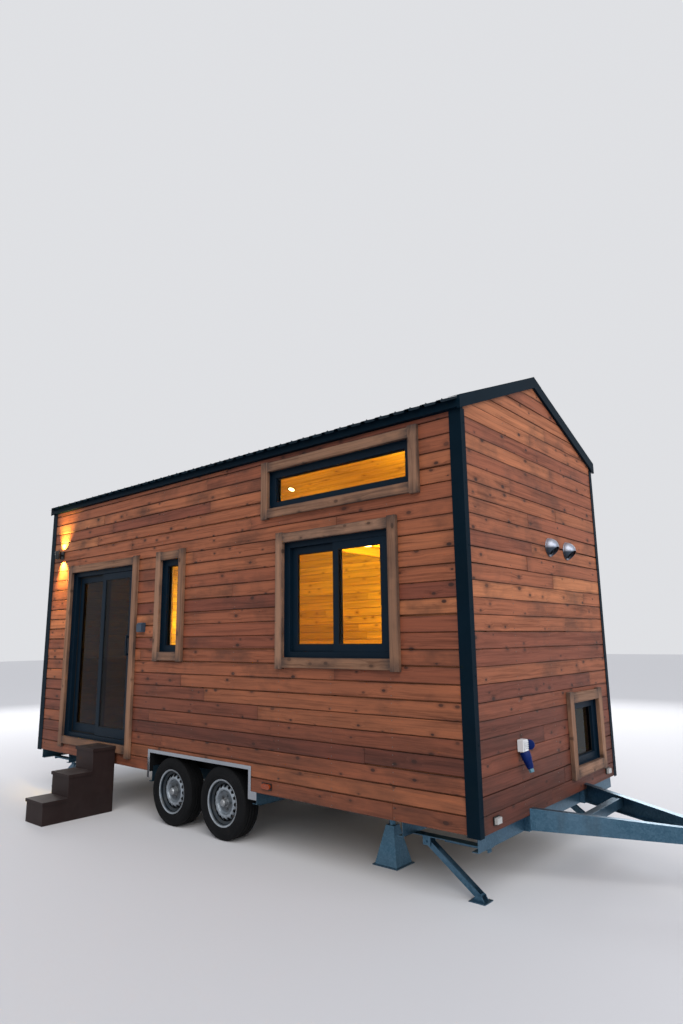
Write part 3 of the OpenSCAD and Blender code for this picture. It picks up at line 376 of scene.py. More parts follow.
def weathering(f, grain, weather, damp, ends):
    """How dark water has made each spot: in patches, along the edges, low on the wall and at a board's ends."""
    patches = f.noise(grain, (1.6, 2.2, 2.2), 5.0, 0.62)
    rim = f.maths("ABSOLUTE", f.minus(f.note("across"), 0.5))
    edge = f.times(f.ramp(rim, (0.30, 0), (0.5, 1)), f.ramp(patches, (0.38, 0), (0.60, 1)))
    blotch = f.ramp(patches, (0.50, 0), (0.72, 0.8))
    low_down = f.spread(f.split(f.here())["Z"], damp_from, splash_top, damp, 0.0)
    splash = f.times(low_down, f.ramp(f.noise(grain, (2.5, 7, 7), 5.0, 0.6), (0.30, 0.2), (0.70, 1)))
    reach = f.split(f.note("reach", "Vector"))
    from_end = f.minus(reach["Y"], f.maths("ABSOLUTE", reach["X"]))
    drunk = f.times(f.spread(from_end, 0.0, end_soak, ends, 0.0),
                    f.ramp(f.noise(grain, (9, 26, 26), 4.0, 0.6), (0.30, 0.3), (0.55, 1)))
    rained = f.maths("MAXIMUM", f.times(f.maths("MAXIMUM", edge, blotch), weather), splash)
    return f.maths("MAXIMUM", rained, drunk)


print("splashed up to", splash_top, "m, and wet for", end_soak, "m from an end")

# %% Wood from one recipe
def wood(name, tones, knot, dark, rough, rough_spread, knots=1.0, weather=0.35, damp=0.0, ends=0.0):
    """Boards with a tone each; reads tone, grain, across and reach from the mesh."""
    f = Finish(name, shine=0.30)
    grain = f.note("grain", "Vector")
    figure, near_knot = knots_and_grain(f, grain)
    base = f.ramp(f.note("tone"), *[(k / (len(tones) - 1), tone) for k, tone in enumerate(tones)])
    streak = f.ramp(figure, (0.30, (0.48, 0.42, 0.38)), (0.5, (1, 1, 1)), (0.70, (1.30, 1.22, 1.12)))
    knotted = f.mix(f.times(near_knot, knots), f.mix(1.0, base, streak, "MULTIPLY"), knot)
    f.feed("Base Color", f.mix(weathering(f, grain, weather, damp, ends), knotted, dark))
    f.feed("Roughness", f.spread(figure, 0.3, 0.7, rough + rough_spread, rough - rough_spread))
    f.raised(f.minus(figure, f.times(near_knot, 0.3)), 0.0016, 0.8)
    return f


stained_boards = wood(
    "stained boards",
    [(0.520, 0.205, 0.082), (0.385, 0.137, 0.057), (0.295, 0.095, 0.042), (0.240, 0.072, 0.034),
     (0.168, 0.047, 0.026), (0.105, 0.029, 0.018)],
    knot=(0.026, 0.009, 0.006), dark=(0.030, 0.014, 0.010), rough=0.62, rough_spread=0.10,
    weather=0.85, damp=0.74, ends=0.45)
print(stained_boards.material.name, "nodes", len(stained_boards.tree.nodes))

# %% Timber round the windows, and boards inside
grey_timber = wood(
    "weathered surround timber",
    [(0.200, 0.102, 0.058), (0.265, 0.146, 0.092), (0.165, 0.084, 0.050), (0.235, 0.124, 0.074)],
    knot=(0.05, 0.024, 0.014), dark=(0.042, 0.028, 0.024), rough=0.70, rough_spread=0.08,
    weather=0.85, ends=0.90)
pine = wood(
    "pine lining",
    [(0.60, 0.365, 0.050), (0.66, 0.410, 0.060), (0.53, 0.315, 0.042), (0.63, 0.390, 0.054)],
    knot=(0.20, 0.09, 0.015), dark=(0.40, 0.220, 0.034), rough=0.45, rough_spread=0.06,
    knots=0.8, weather=0.15)
print(grey_timber.material.name, "and", pine.material.name)

# %% [markdown]
# ## Laying boards
# A carpenter lays boards in courses, joins them end to end over a batten, and cuts them round each opening.
# The same rules are written here: a course is filled with boards of chance lengths, and each is clipped.
# Bent corners on the long edges and a hair of gap between boards draw the dark lines that give the wall its
# rhythm.

# %% Cut a board round the openings
def clipped(u0, u1, z0, z1, holes):
    """Pieces of a board from u0 to u1 and z0 to z1 that are left beside, over and under rectangular holes."""
    left = [(u0, u1, z0, z1)]
    for a, b, low, high in holes:
        kept = []
        for p, q, r, s in left:
            if q <= a or p >= b or s <= low or r >= high:
                kept.append((p, q, r, s))
                continue
            if p < a:
                kept.append((p, a, r, s))
            if q > b:
                kept.append((b, q, r, s))
            if r < low:
                kept.append((max(p, a), min(q, b), r, low))
            if s > high:
                kept.append((max(p, a), min(q, b), high, s))
        left = kept
    return [p for p in left if p[1] - p[0] > 0.004 and p[3] - p[2] > 0.002]


print("a board with a hole in it leaves", len(clipped(0, 3, 0, 3, [(1, 2, 1, 2)])), "pieces")

# %% One board
def plank(place, ends, profile, out=0.0, limit=None):
    """A prism between two ends: corners, faces turned outwards, and each corner's place on the wall."""
    on_wall = []
    for along in ends:
        for height, depth in profile:
            half = limit(height) if limit else math.inf
            on_wall.append((max(-half, min(half, along)), height, depth))
    corners = [place(u, h, d + out) for u, h, d in on_wall]
    points, n, faces = np.array(corners), len(profile), []
    sides = [[k, n + k, n + (k + 1) % n, (k + 1) % n] for k in range(n)]
    for face in ([*range(n)], [*range(n, 2 * n)], *sides):
        ring = points[face]
        normal = np.cross(ring, np.roll(ring, -1, 0)).sum(0)
        faces.append(face if normal @ (ring.mean(0) - points.mean(0)) > 0 else face[::-1])
    return corners, faces, on_wall


print("faces of a wedge", len(plank(lambda u, h, d: (u, d, h), (0, 1), [(0, 0), (1, 0), (1, 1)])[1]))

# %% Fill a wall with courses
shortest, damp_height, usual_tone, same = 0.35, 1.5, 0.38, 1e-6


def lay_boards(place, u_span, z_span, holes=(), limit=None, *, course, thick, gap, bend, lengths,
               wobble=0.0035, slack=0.0, deep=0.0, calm=1.0):
    """The boards between two ends and two heights; place turns (along, up, out) into the row frame."""
    boards, z, mood = [], z_span[0], 0.4
    while z < z_span[1] - 0.004:
        top = min(z + course, z_span[1])
        mood = 0.45 * mood + 0.55 * chance.random()
        darker = deep * max(0.0, 1 - (z - z_span[0]) / damp_height)
        u, first = u_span[0], chance.uniform(0.3, 1.0)
        while u < u_span[1] - 0.002:
            end = min(u + chance.uniform(*lengths) * first, u_span[1])
            first = 1.0
            if u_span[1] - end < shortest:
                end = u_span[1]
            tone = calm * (0.45 * mood + 0.55 * chance.random()) + usual_tone * (1 - calm) + darker
            shift, out = [chance.uniform(0, 60) for _ in range(3)], chance.uniform(-wobble, 0)
            uneven = min(0.009, chance.expovariate(1 / slack)) if slack else 0.0
            for p, q, r, s in clipped(u, end, z, top, holes):
                at_foot, at_head = abs(r - z) < same, abs(s - top) < same
                foot, head = r + (gap / 2 + uneven) * at_foot, s - gap / 2 * at_head
                b0, b1 = bend * at_foot, bend * at_head
                profile = [
                    (foot, -thick), (foot, -b0), (foot + b0, 0), (head - b1, 0), (head, -b1), (head, -thick)]
                ends = (p + gap / 4 * (abs(p - u) < same), q - gap / 4 * (abs(q - end) < same))
                corners, faces, on_wall = plank(place, ends, profile, out, limit)
                boards.append((corners, faces, {
                    "tone": [min(1.0, tone)] * len(corners),
                    "grain": [[a + b for a, b in zip(spot, shift)] for spot in on_wall],
                    "across": [(height - z) / course for _, height, _ in on_wall],
                    "reach": [(along - (u + end) / 2, (end - u) / 2, 0.0) for along in ends for _ in profile]}))
            u = end
        z = top
    return joined(*boards)


print("no board is shorter than", shortest, "m")

# %% [markdown]
# ## Openings
# The holes in the walls are where the frames are: reading them from the solids means that the boards always
# fit them.
# The boards stop at the frame, behind the surround boards, so that no cut end shows from the front.

# %% Read the openings
def hole_of(node, axis=0):
    """The low and high end of an opening along the wall, and its low and high edge."""
    low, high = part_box(node)
    return low[axis], high[axis], low.z, high.z


door_hole, kitchen_hole, loft_hole, narrow_hole, end_hole = (
    *map(hole_of, ("door_frame", "kitchen_window", "loft_windows", "narrow_window")), hole_of("end_window", 1))
gable_hole = (end_hole[0] - middle_y, end_hole[1] - middle_y, *end_hole[2:])
trim_lap = 0.032
wheel_low, wheel_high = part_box("wheel_boxes")
wheel_hole = (wheel_low.x, wheel_high.x, 0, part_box("wheel_arch_trims")[1].z - trim_lap)
windows_door = [door_hole, kitchen_hole, loft_hole, narrow_hole]
print("door hole", [round(v, 3) for v in door_hole], "kitchen hole", [round(v, 3) for v in kitchen_hole])

# %% [markdown]
# ## The four walls of boards
# Each wall is one mesh of some hundred boards, with plain battening behind it that stops the eye where two
# boards meet.
# A plank behind every gap is what a real wall has too, so the gaps stay dark and nothing shines through.
# The boards stand in for the plain slabs of the frame, which stay in place for contact, hidden.

# %% Battening behind the boards
def lay_backing(place, u_span, z_span, holes, limit, back, front):
    """Flat planks behind the boards, cut by the same holes."""
    levels = sorted({*z_span, *[z for hole in holes for z in hole[2:] if z_span[0] < z < z_span[1]]})
    planks = []
    for low, high in zip(levels, levels[1:]):
        for p, q, r, s in clipped(*u_span, low, high, holes):
            outline = [(r, -back), (s, -back), (s, -front), (r, -front)]
            corners, faces, on_wall = plank(place, (p, q), outline, limit=limit)
            planks.append((corners, faces, {
                "tone": [0.15] * 8, "grain": [(u, z + 5, 0) for u, z, _ in on_wall],
                "across": [0.5] * 8, "reach": [(0.0, 1.0, 0.0)] * 8}))
    return joined(*planks)


backing_front = 0.024
print("battening lies", backing_front, "m behind the face of the boards")

# %% Measures of the house
half_w = (end_face.y - end_low.y) / 2
door_face, back_face = middle_y - half_w, middle_y + half_w
rear_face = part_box("rear_end_cladding")[0].x
eave_z, ridge_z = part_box("door_side_cladding")[1].z, end_face.z
roof_angle = math.radians(22)
slope = math.tan(roof_angle)
clad_t, course = 0.040, 0.116
print("half width", round(half_w, 3), "length", round(end_face.x - rear_face, 3), "eave", round(eave_z, 3))

# %% The four walls
def gable_reach(height):
    """Half the width of the gable boards at a height."""
    widest = half_w if height <= eave_z else half_w - clad_t
    return max(0.004, min(widest, (ridge_z - 0.004 - height) / slope))


side_board = dict(
    course=course, thick=0.021, gap=0.0044, bend=0.0036, lengths=(1.2, 4.2), slack=0.0024, deep=0.08)
gable_board = {**side_board, "gap": 0.0024, "bend": 0.0023, "lengths": (1.5, 4.6), "deep": 0.46, "calm": 0.68}
long_span, gable_span = (rear_face + clad_t, end_face.x - clad_t), (-half_w, half_w)
side_rise, gable_rise = (boards_bottom, eave_z), (boards_bottom, ridge_z - 0.01)
door_wall = (lambda u, h, d: (u, door_face - d, h), long_span, side_rise, [*windows_door, wheel_hole], None)
back_wall = (lambda u, h, d: (u, back_face + d, h), long_span, side_rise, [loft_hole, wheel_hole], None)
fore_wall = (
    lambda u, h, d: (end_face.x + d, middle_y + u, h), gable_span, gable_rise, [gable_hole], gable_reach)
rear_wall = (lambda u, h, d: (rear_face - d, middle_y + u, h), gable_span, gable_rise, [], gable_reach)
print("half width of the gable at the eave", round(gable_reach(eave_z), 3))

# %% Clad the walls
def clad(name, wall, kind):
    shape = joined(lay_boards(*wall, **kind), lay_backing(*wall, clad_t - 0.0005, backing_front))
    return make_piece(name, shape, stained_boards)


door_boards = clad("boards_door_side", door_wall, side_board)
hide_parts("door_side_cladding")
back_boards = clad("boards_back_side", back_wall, side_board)
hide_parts("back_side_cladding")
drawbar_boards = clad("boards_drawbar_end", fore_wall, gable_board)
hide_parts("drawbar_end_cladding")
rear_boards = clad("boards_rear_end", rear_wall, gable_board)
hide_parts("rear_end_cladding")

# %% [markdown]
# ## Inside
# Through the windows the room glows: narrow pine boards on the walls and under the roof, and a plank floor.
# The same carpenter's rules lay them, only with narrower boards, closer joints and a clear oil instead of
# a stain.
# They hide nothing of the frame but the plain slabs they stand for.

# %% Line the room
wall_build_up, ceiling_t = 0.147, 0.010
room_half = half_w - wall_build_up
room_fore, room_rear = end_face.x - wall_build_up, rear_face + wall_build_up
inner_door, inner_back = middle_y - room_half, middle_y + room_half
floor_low, floor_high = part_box("floor_boards")
under_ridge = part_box("drawbar_end_wall")[1].z
lining = dict(course=0.092, thick=0.0115, gap=0.0036, bend=0.0036, lengths=(1.2, 3.6), wobble=0.0)


def room_reach(height):
    return max(0.004, min(room_half - 0.0006, (under_ridge - ceiling_t * 1.15 - height) / slope))


lining_top = under_ridge - room_half * slope - ceiling_t * 1.2
long_room = (room_rear - 0.012, room_fore + 0.012), (floor_high.z, lining_top)
wide_room = (-room_half, room_half), (floor_high.z, under_ridge - 0.02)
room_walls = [lay_boards(*wall, **lining) for wall in (
    (lambda u, h, d: (u, inner_door + d, h), *long_room, windows_door),
    (lambda u, h, d: (u, inner_back - d, h), *long_room, [loft_hole]),
    (lambda u, h, d: (room_fore - d, middle_y + u, h), *wide_room, [gable_hole], room_reach),
    (lambda u, h, d: (room_rear + d, middle_y + u, h), *wide_room, [], room_reach))]
lining_boards = make_piece("lining_boards", joined(*room_walls), pine)
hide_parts("wall_linings")

# %% Board the ceiling
def under_roof(side):
    """Turns (along, down the slope, out of it) into the row frame."""
    down = Vector((0, side * math.cos(roof_angle), -math.sin(roof_angle)))
    out = Vector((0, -side * math.sin(roof_angle), -math.cos(roof_angle)))
    top = Vector((0, middle_y, under_ridge))
    return lambda u, v, d: tuple(top + Vector((u, 0, 0)) + down * v + out * (ceiling_t + d))


down_slope = (0.006, room_half / math.cos(roof_angle) - 0.004)
ceiling = {**lining, "thick": ceiling_t - 0.0006}
slopes = [lay_boards(under_roof(side), (room_rear, room_fore), down_slope, **ceiling) for side in (-1, 1)]
make_piece("ceiling_boards", joined(*slopes), pine)

# %% Plank the floor
def on_floor(u, v, d):
    return u, v, floor_high.z + d


planks = dict(course=0.137, thick=0.0215, gap=0.0014, bend=0.0012, lengths=(1.0, 2.6), wobble=0.0)
room_planks = lay_boards(on_floor, (floor_low.x, floor_high.x), (inner_door, floor_high.y), **planks)
in_doorway = {**planks, "course": inner_door - floor_low.y}
door_planks = lay_boards(on_floor, door_hole[:2], (floor_low.y, inner_door), **in_doorway)
floor_planks = make_piece("floor_planks", joined(room_planks, door_planks), pine)
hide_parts("floor_boards")

# %% [markdown]
# ## Boards that the frame already has
# The surrounds and the loft floor are single boards in the frame, so they keep their shape.
# What they lack is a tone and a grain direction for each board.
# Both are written on the mesh: separate boards are found by joining touching corners, and the longest side
# says where the grain runs.

# %% Tell the separate solids of a node apart
def solids_of(node):
    """The corner numbers of each separate solid, with its corners."""
    mesh = nodes[node].data
    points = np.empty(len(mesh.vertices) * 3)
    mesh.vertices.foreach_get("co", points)
    points = points.reshape(-1, 3)
    first, chain, groups = {}, list(range(len(points))), {}

    def root(k):
        while chain[k] != k:
            chain[k] = chain[chain[k]]
            k = chain[k]
        return k

    for k, place in enumerate(map(tuple, np.round(points, 5))):
        chain[root(k)] = root(first.setdefault(place, k))
    for edge in mesh.edges:
        chain[root(edge.vertices[0])] = root(edge.vertices[1])
    for k in range(len(points)):
        groups.setdefault(root(k), []).append(k)
    return [(members, points[members]) for members in groups.values()]


print("solids in the surrounds", len(solids_of("window_surrounds")))

# %% Write notes on the boards of a node
def board_notes(node, seed):
    """Tone, grain, across and reach for each separate board; corners stay where they are."""
    draw, solids, count = random.Random(seed), solids_of(node), len(nodes[node].data.vertices)
    tone, across = np.zeros(count), np.zeros(count)
    grain, reach = np.zeros((count, 3)), np.zeros((count, 3))
    for members, board in solids:
        low, high = board.min(0), board.max(0)
        order = np.argsort(low - high)
        longest = order[0]
        tone[members] = draw.random()
        grain[members] = board[:, order] + [draw.uniform(0, 40) for _ in range(3)]
        across[members] = ((board - low) / np.maximum(high - low, same))[:, order[1]]
        reach[members, 0] = board[:, longest] - (low + high)[longest] / 2
        reach[members, 1] = (high - low)[longest] / 2
    write_notes(nodes[node].data, {"tone": tone, "grain": grain, "across": across, "reach": reach})
    print(node, "boards", len(solids))


for seed, node, finish in (
        (70, "door_surround", grey_timber), (71, "window_surrounds", grey_timber), (72, "loft_floor", pine)):
    board_notes(node, seed)
    eased(0.0025, finish, node)

# %% [markdown]
# ## Metals
# The trailer is hot-dip galvanised: zinc freezes on steel in flat crystals, each of which mirrors a little
# differently.
# Cells of chance size give those crystals, and a slow noise gives the bloom of weathered zinc.
# Everything is read in the part's own coordinates, so the pattern keeps its true size on thin and on thick
# members.

# %% Galvanised steel
galvanised = f = Finish("galvanised steel", 0.42, 0.85)
where = f.here()
crystals = put(f.tree, "TexVoronoi", {"Vector": where, "Scale": 85.0, "Randomness": 1.0}).outputs
facet = f.ramp(
    put(f.tree, "SeparateColor", {0: crystals["Color"]}).outputs[0],
    (0.0, (0.044, 0.104, 0.158)), (0.5, (0.054, 0.122, 0.182)), (1.0, (0.070, 0.147, 0.212)))
bloom = f.ramp(f.noise(where, 3.2, 6.0, 0.62), (0.46, 0), (0.68, 1))
stain = f.ramp(f.noise(where, (5, 5, 1.4), 5.0, 0.6), (0.56, 0), (0.72, 1))
zinc = f.mix(f.times(bloom, 0.45), facet, (0.105, 0.178, 0.250))
f.feed("Base Color", f.mix(f.times(stain, 0.35), zinc, (0.055, 0.064, 0.070)))
f.feed("Roughness", f.maths("MULTIPLY_ADD", bloom, 0.18, 0.34))
f.raised(crystals["Distance"], 0.0003, 0.3)
eased(
    0.0008, galvanised, "chassis_rails", "chassis_cross_members", "drawbar_arms", "steady_brackets",
    "axle_stands")
dress(galvanised, "axles", *named("steady_leg_"))
print("galvanised legs", len(named("steady_leg_")))

# %% [markdown]
# ## Painted and moulded surfaces
# Powder coat, plastic and cast iron differ mainly in how fine their skin is and how much dust it holds.
# One recipe with a fine orange peel, a slow change of shade and a little dust on faces that look up serves
# them all.

# %% Coated skin from one recipe
def skin(name, colour, rough, metallic=0.0, peel=600.0, peel_depth=0.00012, dust=(0.30, 0.28, 0.26),
         dusty=0.25, shade=0.12, shine=0.5):
    f = Finish(name, rough, metallic, colour, shine)
    where = f.here()
    slow = f.spread(f.noise(where, 2.4, 5.0, 0.6), 0.3, 0.7, 1 - shade, 1 + shade)
    upward = f.split(put(f.tree, "NewGeometry").outputs["Normal"])["Z"]
    spots = f.ramp(f.noise(where, 9.0, 6.0, 0.65), (0.40, 0), (0.66, 1))
    share = f.times(f.times(f.maths("MAXIMUM", upward, 0.12), spots), dusty)
    f.feed("Base Color", f.mix(share, f.mix(1.0, colour, slow, "MULTIPLY"), dust))
    f.feed("Roughness", f.maths("ADD", rough, f.times(share, 0.6), clamp=True))
    f.raised(f.noise(where, peel, 1.0), peel_depth, 0.5)
    return f


roof_steel = skin("petrol roof steel", (0.0009, 0.0078, 0.0150), 0.50, peel=420.0, dusty=0.022, shine=0.05)
window_coat = skin(
    "blue black window coat", (0.0026, 0.0105, 0.0205), 0.44, peel=700.0, dusty=0.035, shine=0.09)
black_iron = skin("black iron", (0.022, 0.022, 0.024), 0.55, peel=260.0, peel_depth=0.0004, dusty=0.35)
lamp_black = skin("lamp black", (0.010, 0.010, 0.011), 0.45, dusty=0.08, shine=0.3)
undercoat = skin(
    "black undercoat", (0.0045, 0.0048, 0.0055), 0.80, peel=90.0, peel_depth=0.0005, dusty=0.04, shine=0.10)
grey_plastic = skin("blue grey plastic", (0.030, 0.050, 0.080), 0.48, dusty=0.12, shine=0.35)
white_plastic = skin("white plastic", (0.66, 0.67, 0.68), 0.38, dusty=0.18, shade=0.04)
blue_plastic = skin("blue plastic", (0.0008, 0.012, 0.092), 0.42, dusty=0.012, shine=0.12)
nut_plastic = skin("pale teal plastic", (0.080, 0.190, 0.250), 0.45, dusty=0.06, shine=0.3)
brown_steps = skin(
    "brown steps", (0.017, 0.0085, 0.0080), 0.62, peel=120.0, peel_depth=0.0006, dusty=0.10, shade=0.25,
    shine=0.22)
silver_paint = skin("silver paint", (0.36, 0.38, 0.40), 0.36, 0.55, dusty=0.32, dust=(0.25, 0.23, 0.21))
bright_steel = skin("bright steel", (0.36, 0.385, 0.42), 0.22, 0.95, peel=900.0, dusty=0.10)
screw_steel = skin("dull screw steel", (0.20, 0.17, 0.15), 0.45, 0.8, dusty=0.1)
gasket_rubber = skin("gasket rubber", (0.006, 0.006, 0.007), 0.65, dusty=0.05, shine=0.2)
print("finishes so far", len(bpy.data.materials))

# %% Coat the solids
eased(0.0004, roof_steel, "roof_sheets")
eased(0.0008, roof_steel, "ridge_cap", "verge_trims", "eave_trims", "corner_trims")
eased(0.0022, window_coat, "door_frame", "door_fixed_leaf", "kitchen_window", "loft_windows", "narrow_window",
      "end_window", "door_sliding_leaf")
for node, finish in (
        ("overrun_coupling", black_iron), ("coupling_head", silver_paint), ("wheel_arch_trims", bright_steel),
        ("wheel_boxes", undercoat), ("wall_lamp", lamp_black), ("outdoor_socket", grey_plastic),
        ("entrance_steps", brown_steps)):
    eased(0.0015, finish, node)
print("finished nodes", len([node for node in nodes.values() if node.data.materials]))

# %% [markdown]
# ## House frame, glass and lenses
# The insulated walls and the floor deck show only from below and in the reveals, as pale planed spruce.
# Glass is clear, with a faint tone of its own.
# The panes that look dark from outside get painted shade in their colour, blued at the door like a painted
# reflection of dusk, which is quicker and surer than a dark room behind them.
# The marker lenses are coloured plastic with fine ribs: amber along the sides, white in front and red at
# the rear.

# %% Planed spruce for the frame of the house
spruce = f = Finish("planed spruce", 0.7)
lines = f.noise(f.here(), (2.0, 60, 60), 3.0)
f.feed("Base Color", f.ramp(lines, (0.35, (0.44, 0.31, 0.17)), (0.6, (0.60, 0.45, 0.27))))
f.raised(lines, 0.0008, 0.6)
dress(
    spruce, "floor_deck", "door_side_wall", "back_side_wall", "drawbar_end_wall", "rear_end_wall",
    "roof_panels")
print(spruce.material.name, "nodes", len(spruce.tree.nodes))

# %% Glass
glass = f = Finish("window glass", 0.02, 0.0, (0.93, 0.97, 0.96))
f.shader.inputs["Transmission Weight"].default_value = 1.0
f.shader.inputs["IOR"].default_value = 1.16
f.feed("Roughness", f.spread(f.noise(f.here(), 5.0, 4.0, 0.6), 0.35, 0.75, 0.0, 0.035))
clear, at_the_door, at_the_end = 0.0, 0.5, 1.0
# Painted shade: the door panes are dark blue and the end window nearly black; the other panes stay clear.
f.feed("Base Color", f.ramp(
    f.note("dim"), (clear, (0.95, 0.97, 0.95)), (at_the_door, (0.038, 0.052, 0.170)),
    (at_the_end, (0.006, 0.026, 0.042))))
for node in ("window_panes", "door_sliding_pane"):
    panes, dim = solids_of(node), np.zeros(len(nodes[node].data.vertices))
    for members, pane in panes:
        x, y, _ = pane.mean(0)
        in_doorway = door_hole[0] < x < door_hole[1] and y < middle_y
        dim[members] = at_the_end if x > end_face.x - 0.2 else at_the_door if in_doorway else clear
    write_notes(nodes[node].data, {"dim": dim})
    print(node, "panes", len(panes), "dim", sorted({float(d) for d in dim}))
dress(glass, "window_panes", "door_sliding_pane")

# %% Lenses
lenses = f = Finish("marker lens", 0.22, 0.0, (0.60, 0.12, 0.02))
where = f.here()
wave = put(f.tree, "TexWave", {"Vector": where, "Scale": 95.0}, wave_type="BANDS", bands_direction="Z")
ribs = wave.outputs["Fac"]
from_rear = f.spread(f.split(where)["X"], rear_face, end_face.x, 0.02, 0.98)
red, amber, white = (0.30, 0.010, 0.010), (0.27, 0.042, 0.006), (0.46, 0.46, 0.45)
colour = f.ramp(from_rear, (0.0, red), (0.03, amber), (0.97, white), steps=True)
f.feed("Base Color", f.mix(1.0, colour, f.ramp(ribs, (0.2, 0.72), (0.8, 1)), "MULTIPLY"))
f.raised(ribs, 0.0008, 0.6)
eased(0.003, lenses, "marker_lamps")
print("marker lamps", len(solids_of("marker_lamps")))

# %% [markdown]
# ## Wheels
# The tyres are nearly black rubber, greyed by dust on the side walls, with rings from the mould and slanting
# cuts in the tread, which are painted dark as shade; the rims are silver paint with road dirt, darker round the
# bolts, with painted shade in the deep well and in the vent holes.
# Rings and holes could be modelled, but a finish that knows how far it is from the hub draws them sharp on the
# solids that are there.

# %% Measure the wheels from their hubs
def polar(f):
    """Distance from the hub, turn round it, and distance sideways."""
    spoke = f.split(f.note("spoke", "Vector"))
    return f.length(spoke["X"], spoke["Z"]), f.maths("ARCTAN2", spoke["Z"], spoke["X"]), spoke["Y"]


for node in named(("tyre_", "rim_")):
    low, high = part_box(node)
    hub, mesh = (low + high) / 2, nodes[node].data
    write_notes(mesh, {"spoke": [v.co - hub for v in mesh.vertices]})
tyre_low, tyre_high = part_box("tyre_door_side_fore")
tyre_r = (tyre_high.z - tyre_low.z) / 2
print("tyre radius", round(tyre_r, 3))

# %% Rubber
rubber = f = Finish("tyre rubber", 0.72, 0.0, (0.010, 0.010, 0.011), 0.12)
radius, turn, sideways = polar(f)
where = f.here()
cuts_round, cuts_across, rings_apart = 68, 34.0, math.tau / 900
dust = f.ramp(f.noise(where, 7.0, 6.0, 0.65), (0.42, 0), (0.75, 1))
tread = f.ramp(f.maths("DIVIDE", radius, tyre_r), (0.955, 0), (0.965, 1))
slant = f.maths(
    "MULTIPLY_ADD", f.maths("ABSOLUTE", sideways), cuts_across, f.times(turn, cuts_round / math.tau))
block = f.ramp(f.maths("FRACT", slant), (0.0, 0), (0.13, 0), (0.19, 1), (0.94, 1), (1.0, 0))
worn = f.mix(f.times(dust, 0.30), (0.0034, 0.0038, 0.0046), (0.016, 0.016, 0.017))
cut = f.times(tread, f.minus(1.0, block))
# Painted shade: the cuts in the tread are darkened nearly to black, as well as pressed in by the bump.
f.feed("Base Color", f.mix(f.times(cut, 0.8), worn, (0.003, 0.003, 0.003)))
rings = f.maths("SINE", f.times(radius, math.tau / rings_apart))
band = f.ramp(radius, (0.204, 0), (0.210, 1), (0.226, 1), (0.232, 0))
moulded = f.plus(f.times(rings, band), f.times(f.noise(where, 180.0), 0.3))
f.raised(f.minus(f.times(moulded, 0.25), cut), 0.0035, 0.9)
dress(rubber, *named("tyre_"))
print("rings in the side wall", round(rings_apart * 1000, 1), "mm apart")

# %% Painted rims with road dirt and painted shade
rims = f = Finish("wheel silver", 0.34, 0.65)
radius, turn, _ = polar(f)
where = f.here()
vent_count, vent_ring = 16, 0.137
# The silver paint is darker round the bolts; the near-black band in the deep well of the rim is painted shade.
paint = f.ramp(
    f.times(radius, 5.0), (0.0, (0.30, 0.32, 0.34)), (0.16, (0.30, 0.32, 0.34)), (0.20, (0.09, 0.10, 0.11)),
    (0.42, (0.12, 0.145, 0.17)), (0.58, (0.36, 0.41, 0.46)), (0.70, (0.18, 0.21, 0.24)),
    (0.76, (0.018, 0.027, 0.036)), (0.895, (0.020, 0.032, 0.044)), (0.912, (0.32, 0.36, 0.40)),
    (1.0, (0.38, 0.42, 0.46)))
grime = f.ramp(f.noise(where, 22.0, 6.0, 0.65), (0.42, 0), (0.72, 1))
between = f.minus(f.maths("FRACT", f.maths("MULTIPLY_ADD", turn, vent_count / math.tau, 0.5)), 0.5)
from_hole = f.length(f.times(between, math.tau / vent_count * vent_ring), f.minus(radius, vent_ring))
# Painted shade: each vent hole is drawn as a near-black disc, the dark that shows through a hole.
vent_hole_shade = f.ramp(f.times(from_hole, 10.0), (0.145, 1), (0.170, 0))
dirty_and_shaded = f.mix(f.times(grime, 0.55), paint, (0.075, 0.066, 0.056))
f.feed("Base Color", f.mix(f.times(vent_hole_shade, 0.97), dirty_and_shaded, (0.004, 0.004, 0.005)))
f.feed("Roughness", f.maths("MULTIPLY_ADD", grime, 0.30, 0.30))
f.raised(f.noise(where, 500.0, 1.0), 0.0001, 0.5)
dress(rims, *named("rim_"))
print("vent holes", vent_count, "on a ring of", vent_ring, "m")

# %% [markdown]
# ## Vents and the power inlet
# Each vent is a pressed hood of thin steel with its mouth cut on the slant, so that rain runs past it.
# The frame has a plain stand-in; the hood is a ball cut by two planes and given the thickness of sheet.
# The plug in the power inlet is round everywhere, so a profile swept round its axis describes it best, and the
# same sweep makes collars, flanges and, later, screws.

# %% Turn a profile round an axis
def turned(profile, origin, axis, sides=40):
    """A body closed at both ends from (along, radius) pairs."""
    origin, axis = Vector(origin), Vector(axis).normalized()
    across = axis.orthogonal().normalized()
    beside = axis.cross(across)
    turns = [math.tau * k / sides for k in range(sides)]
    corners = [
        tuple(origin + axis * along + (across * math.cos(turn) + beside * math.sin(turn)) * radius)
        for along, radius in profile for turn in turns]
    faces = [
        [row + k, row + (k + 1) % sides, row + sides + (k + 1) % sides, row + sides + k]
        for row in range(0, sides * (len(profile) - 1), sides) for k in range(sides)]
    last = sides * (len(profile) - 1)
    return corners, faces + [[*range(sides)][::-1], [*range(last, last + sides)]], {}


print("a turned pin has", len(turned([(0, 1), (1, 1)], (0, 0, 0), (0, 0, 1), 8)[1]), "faces")

# %% Steel of the hoods
hood_steel = f = Finish("pressed hood steel", 0.40, 0.75)
facing = f.split(put(f.tree, "NewGeometry").outputs["Normal"])["Z"]
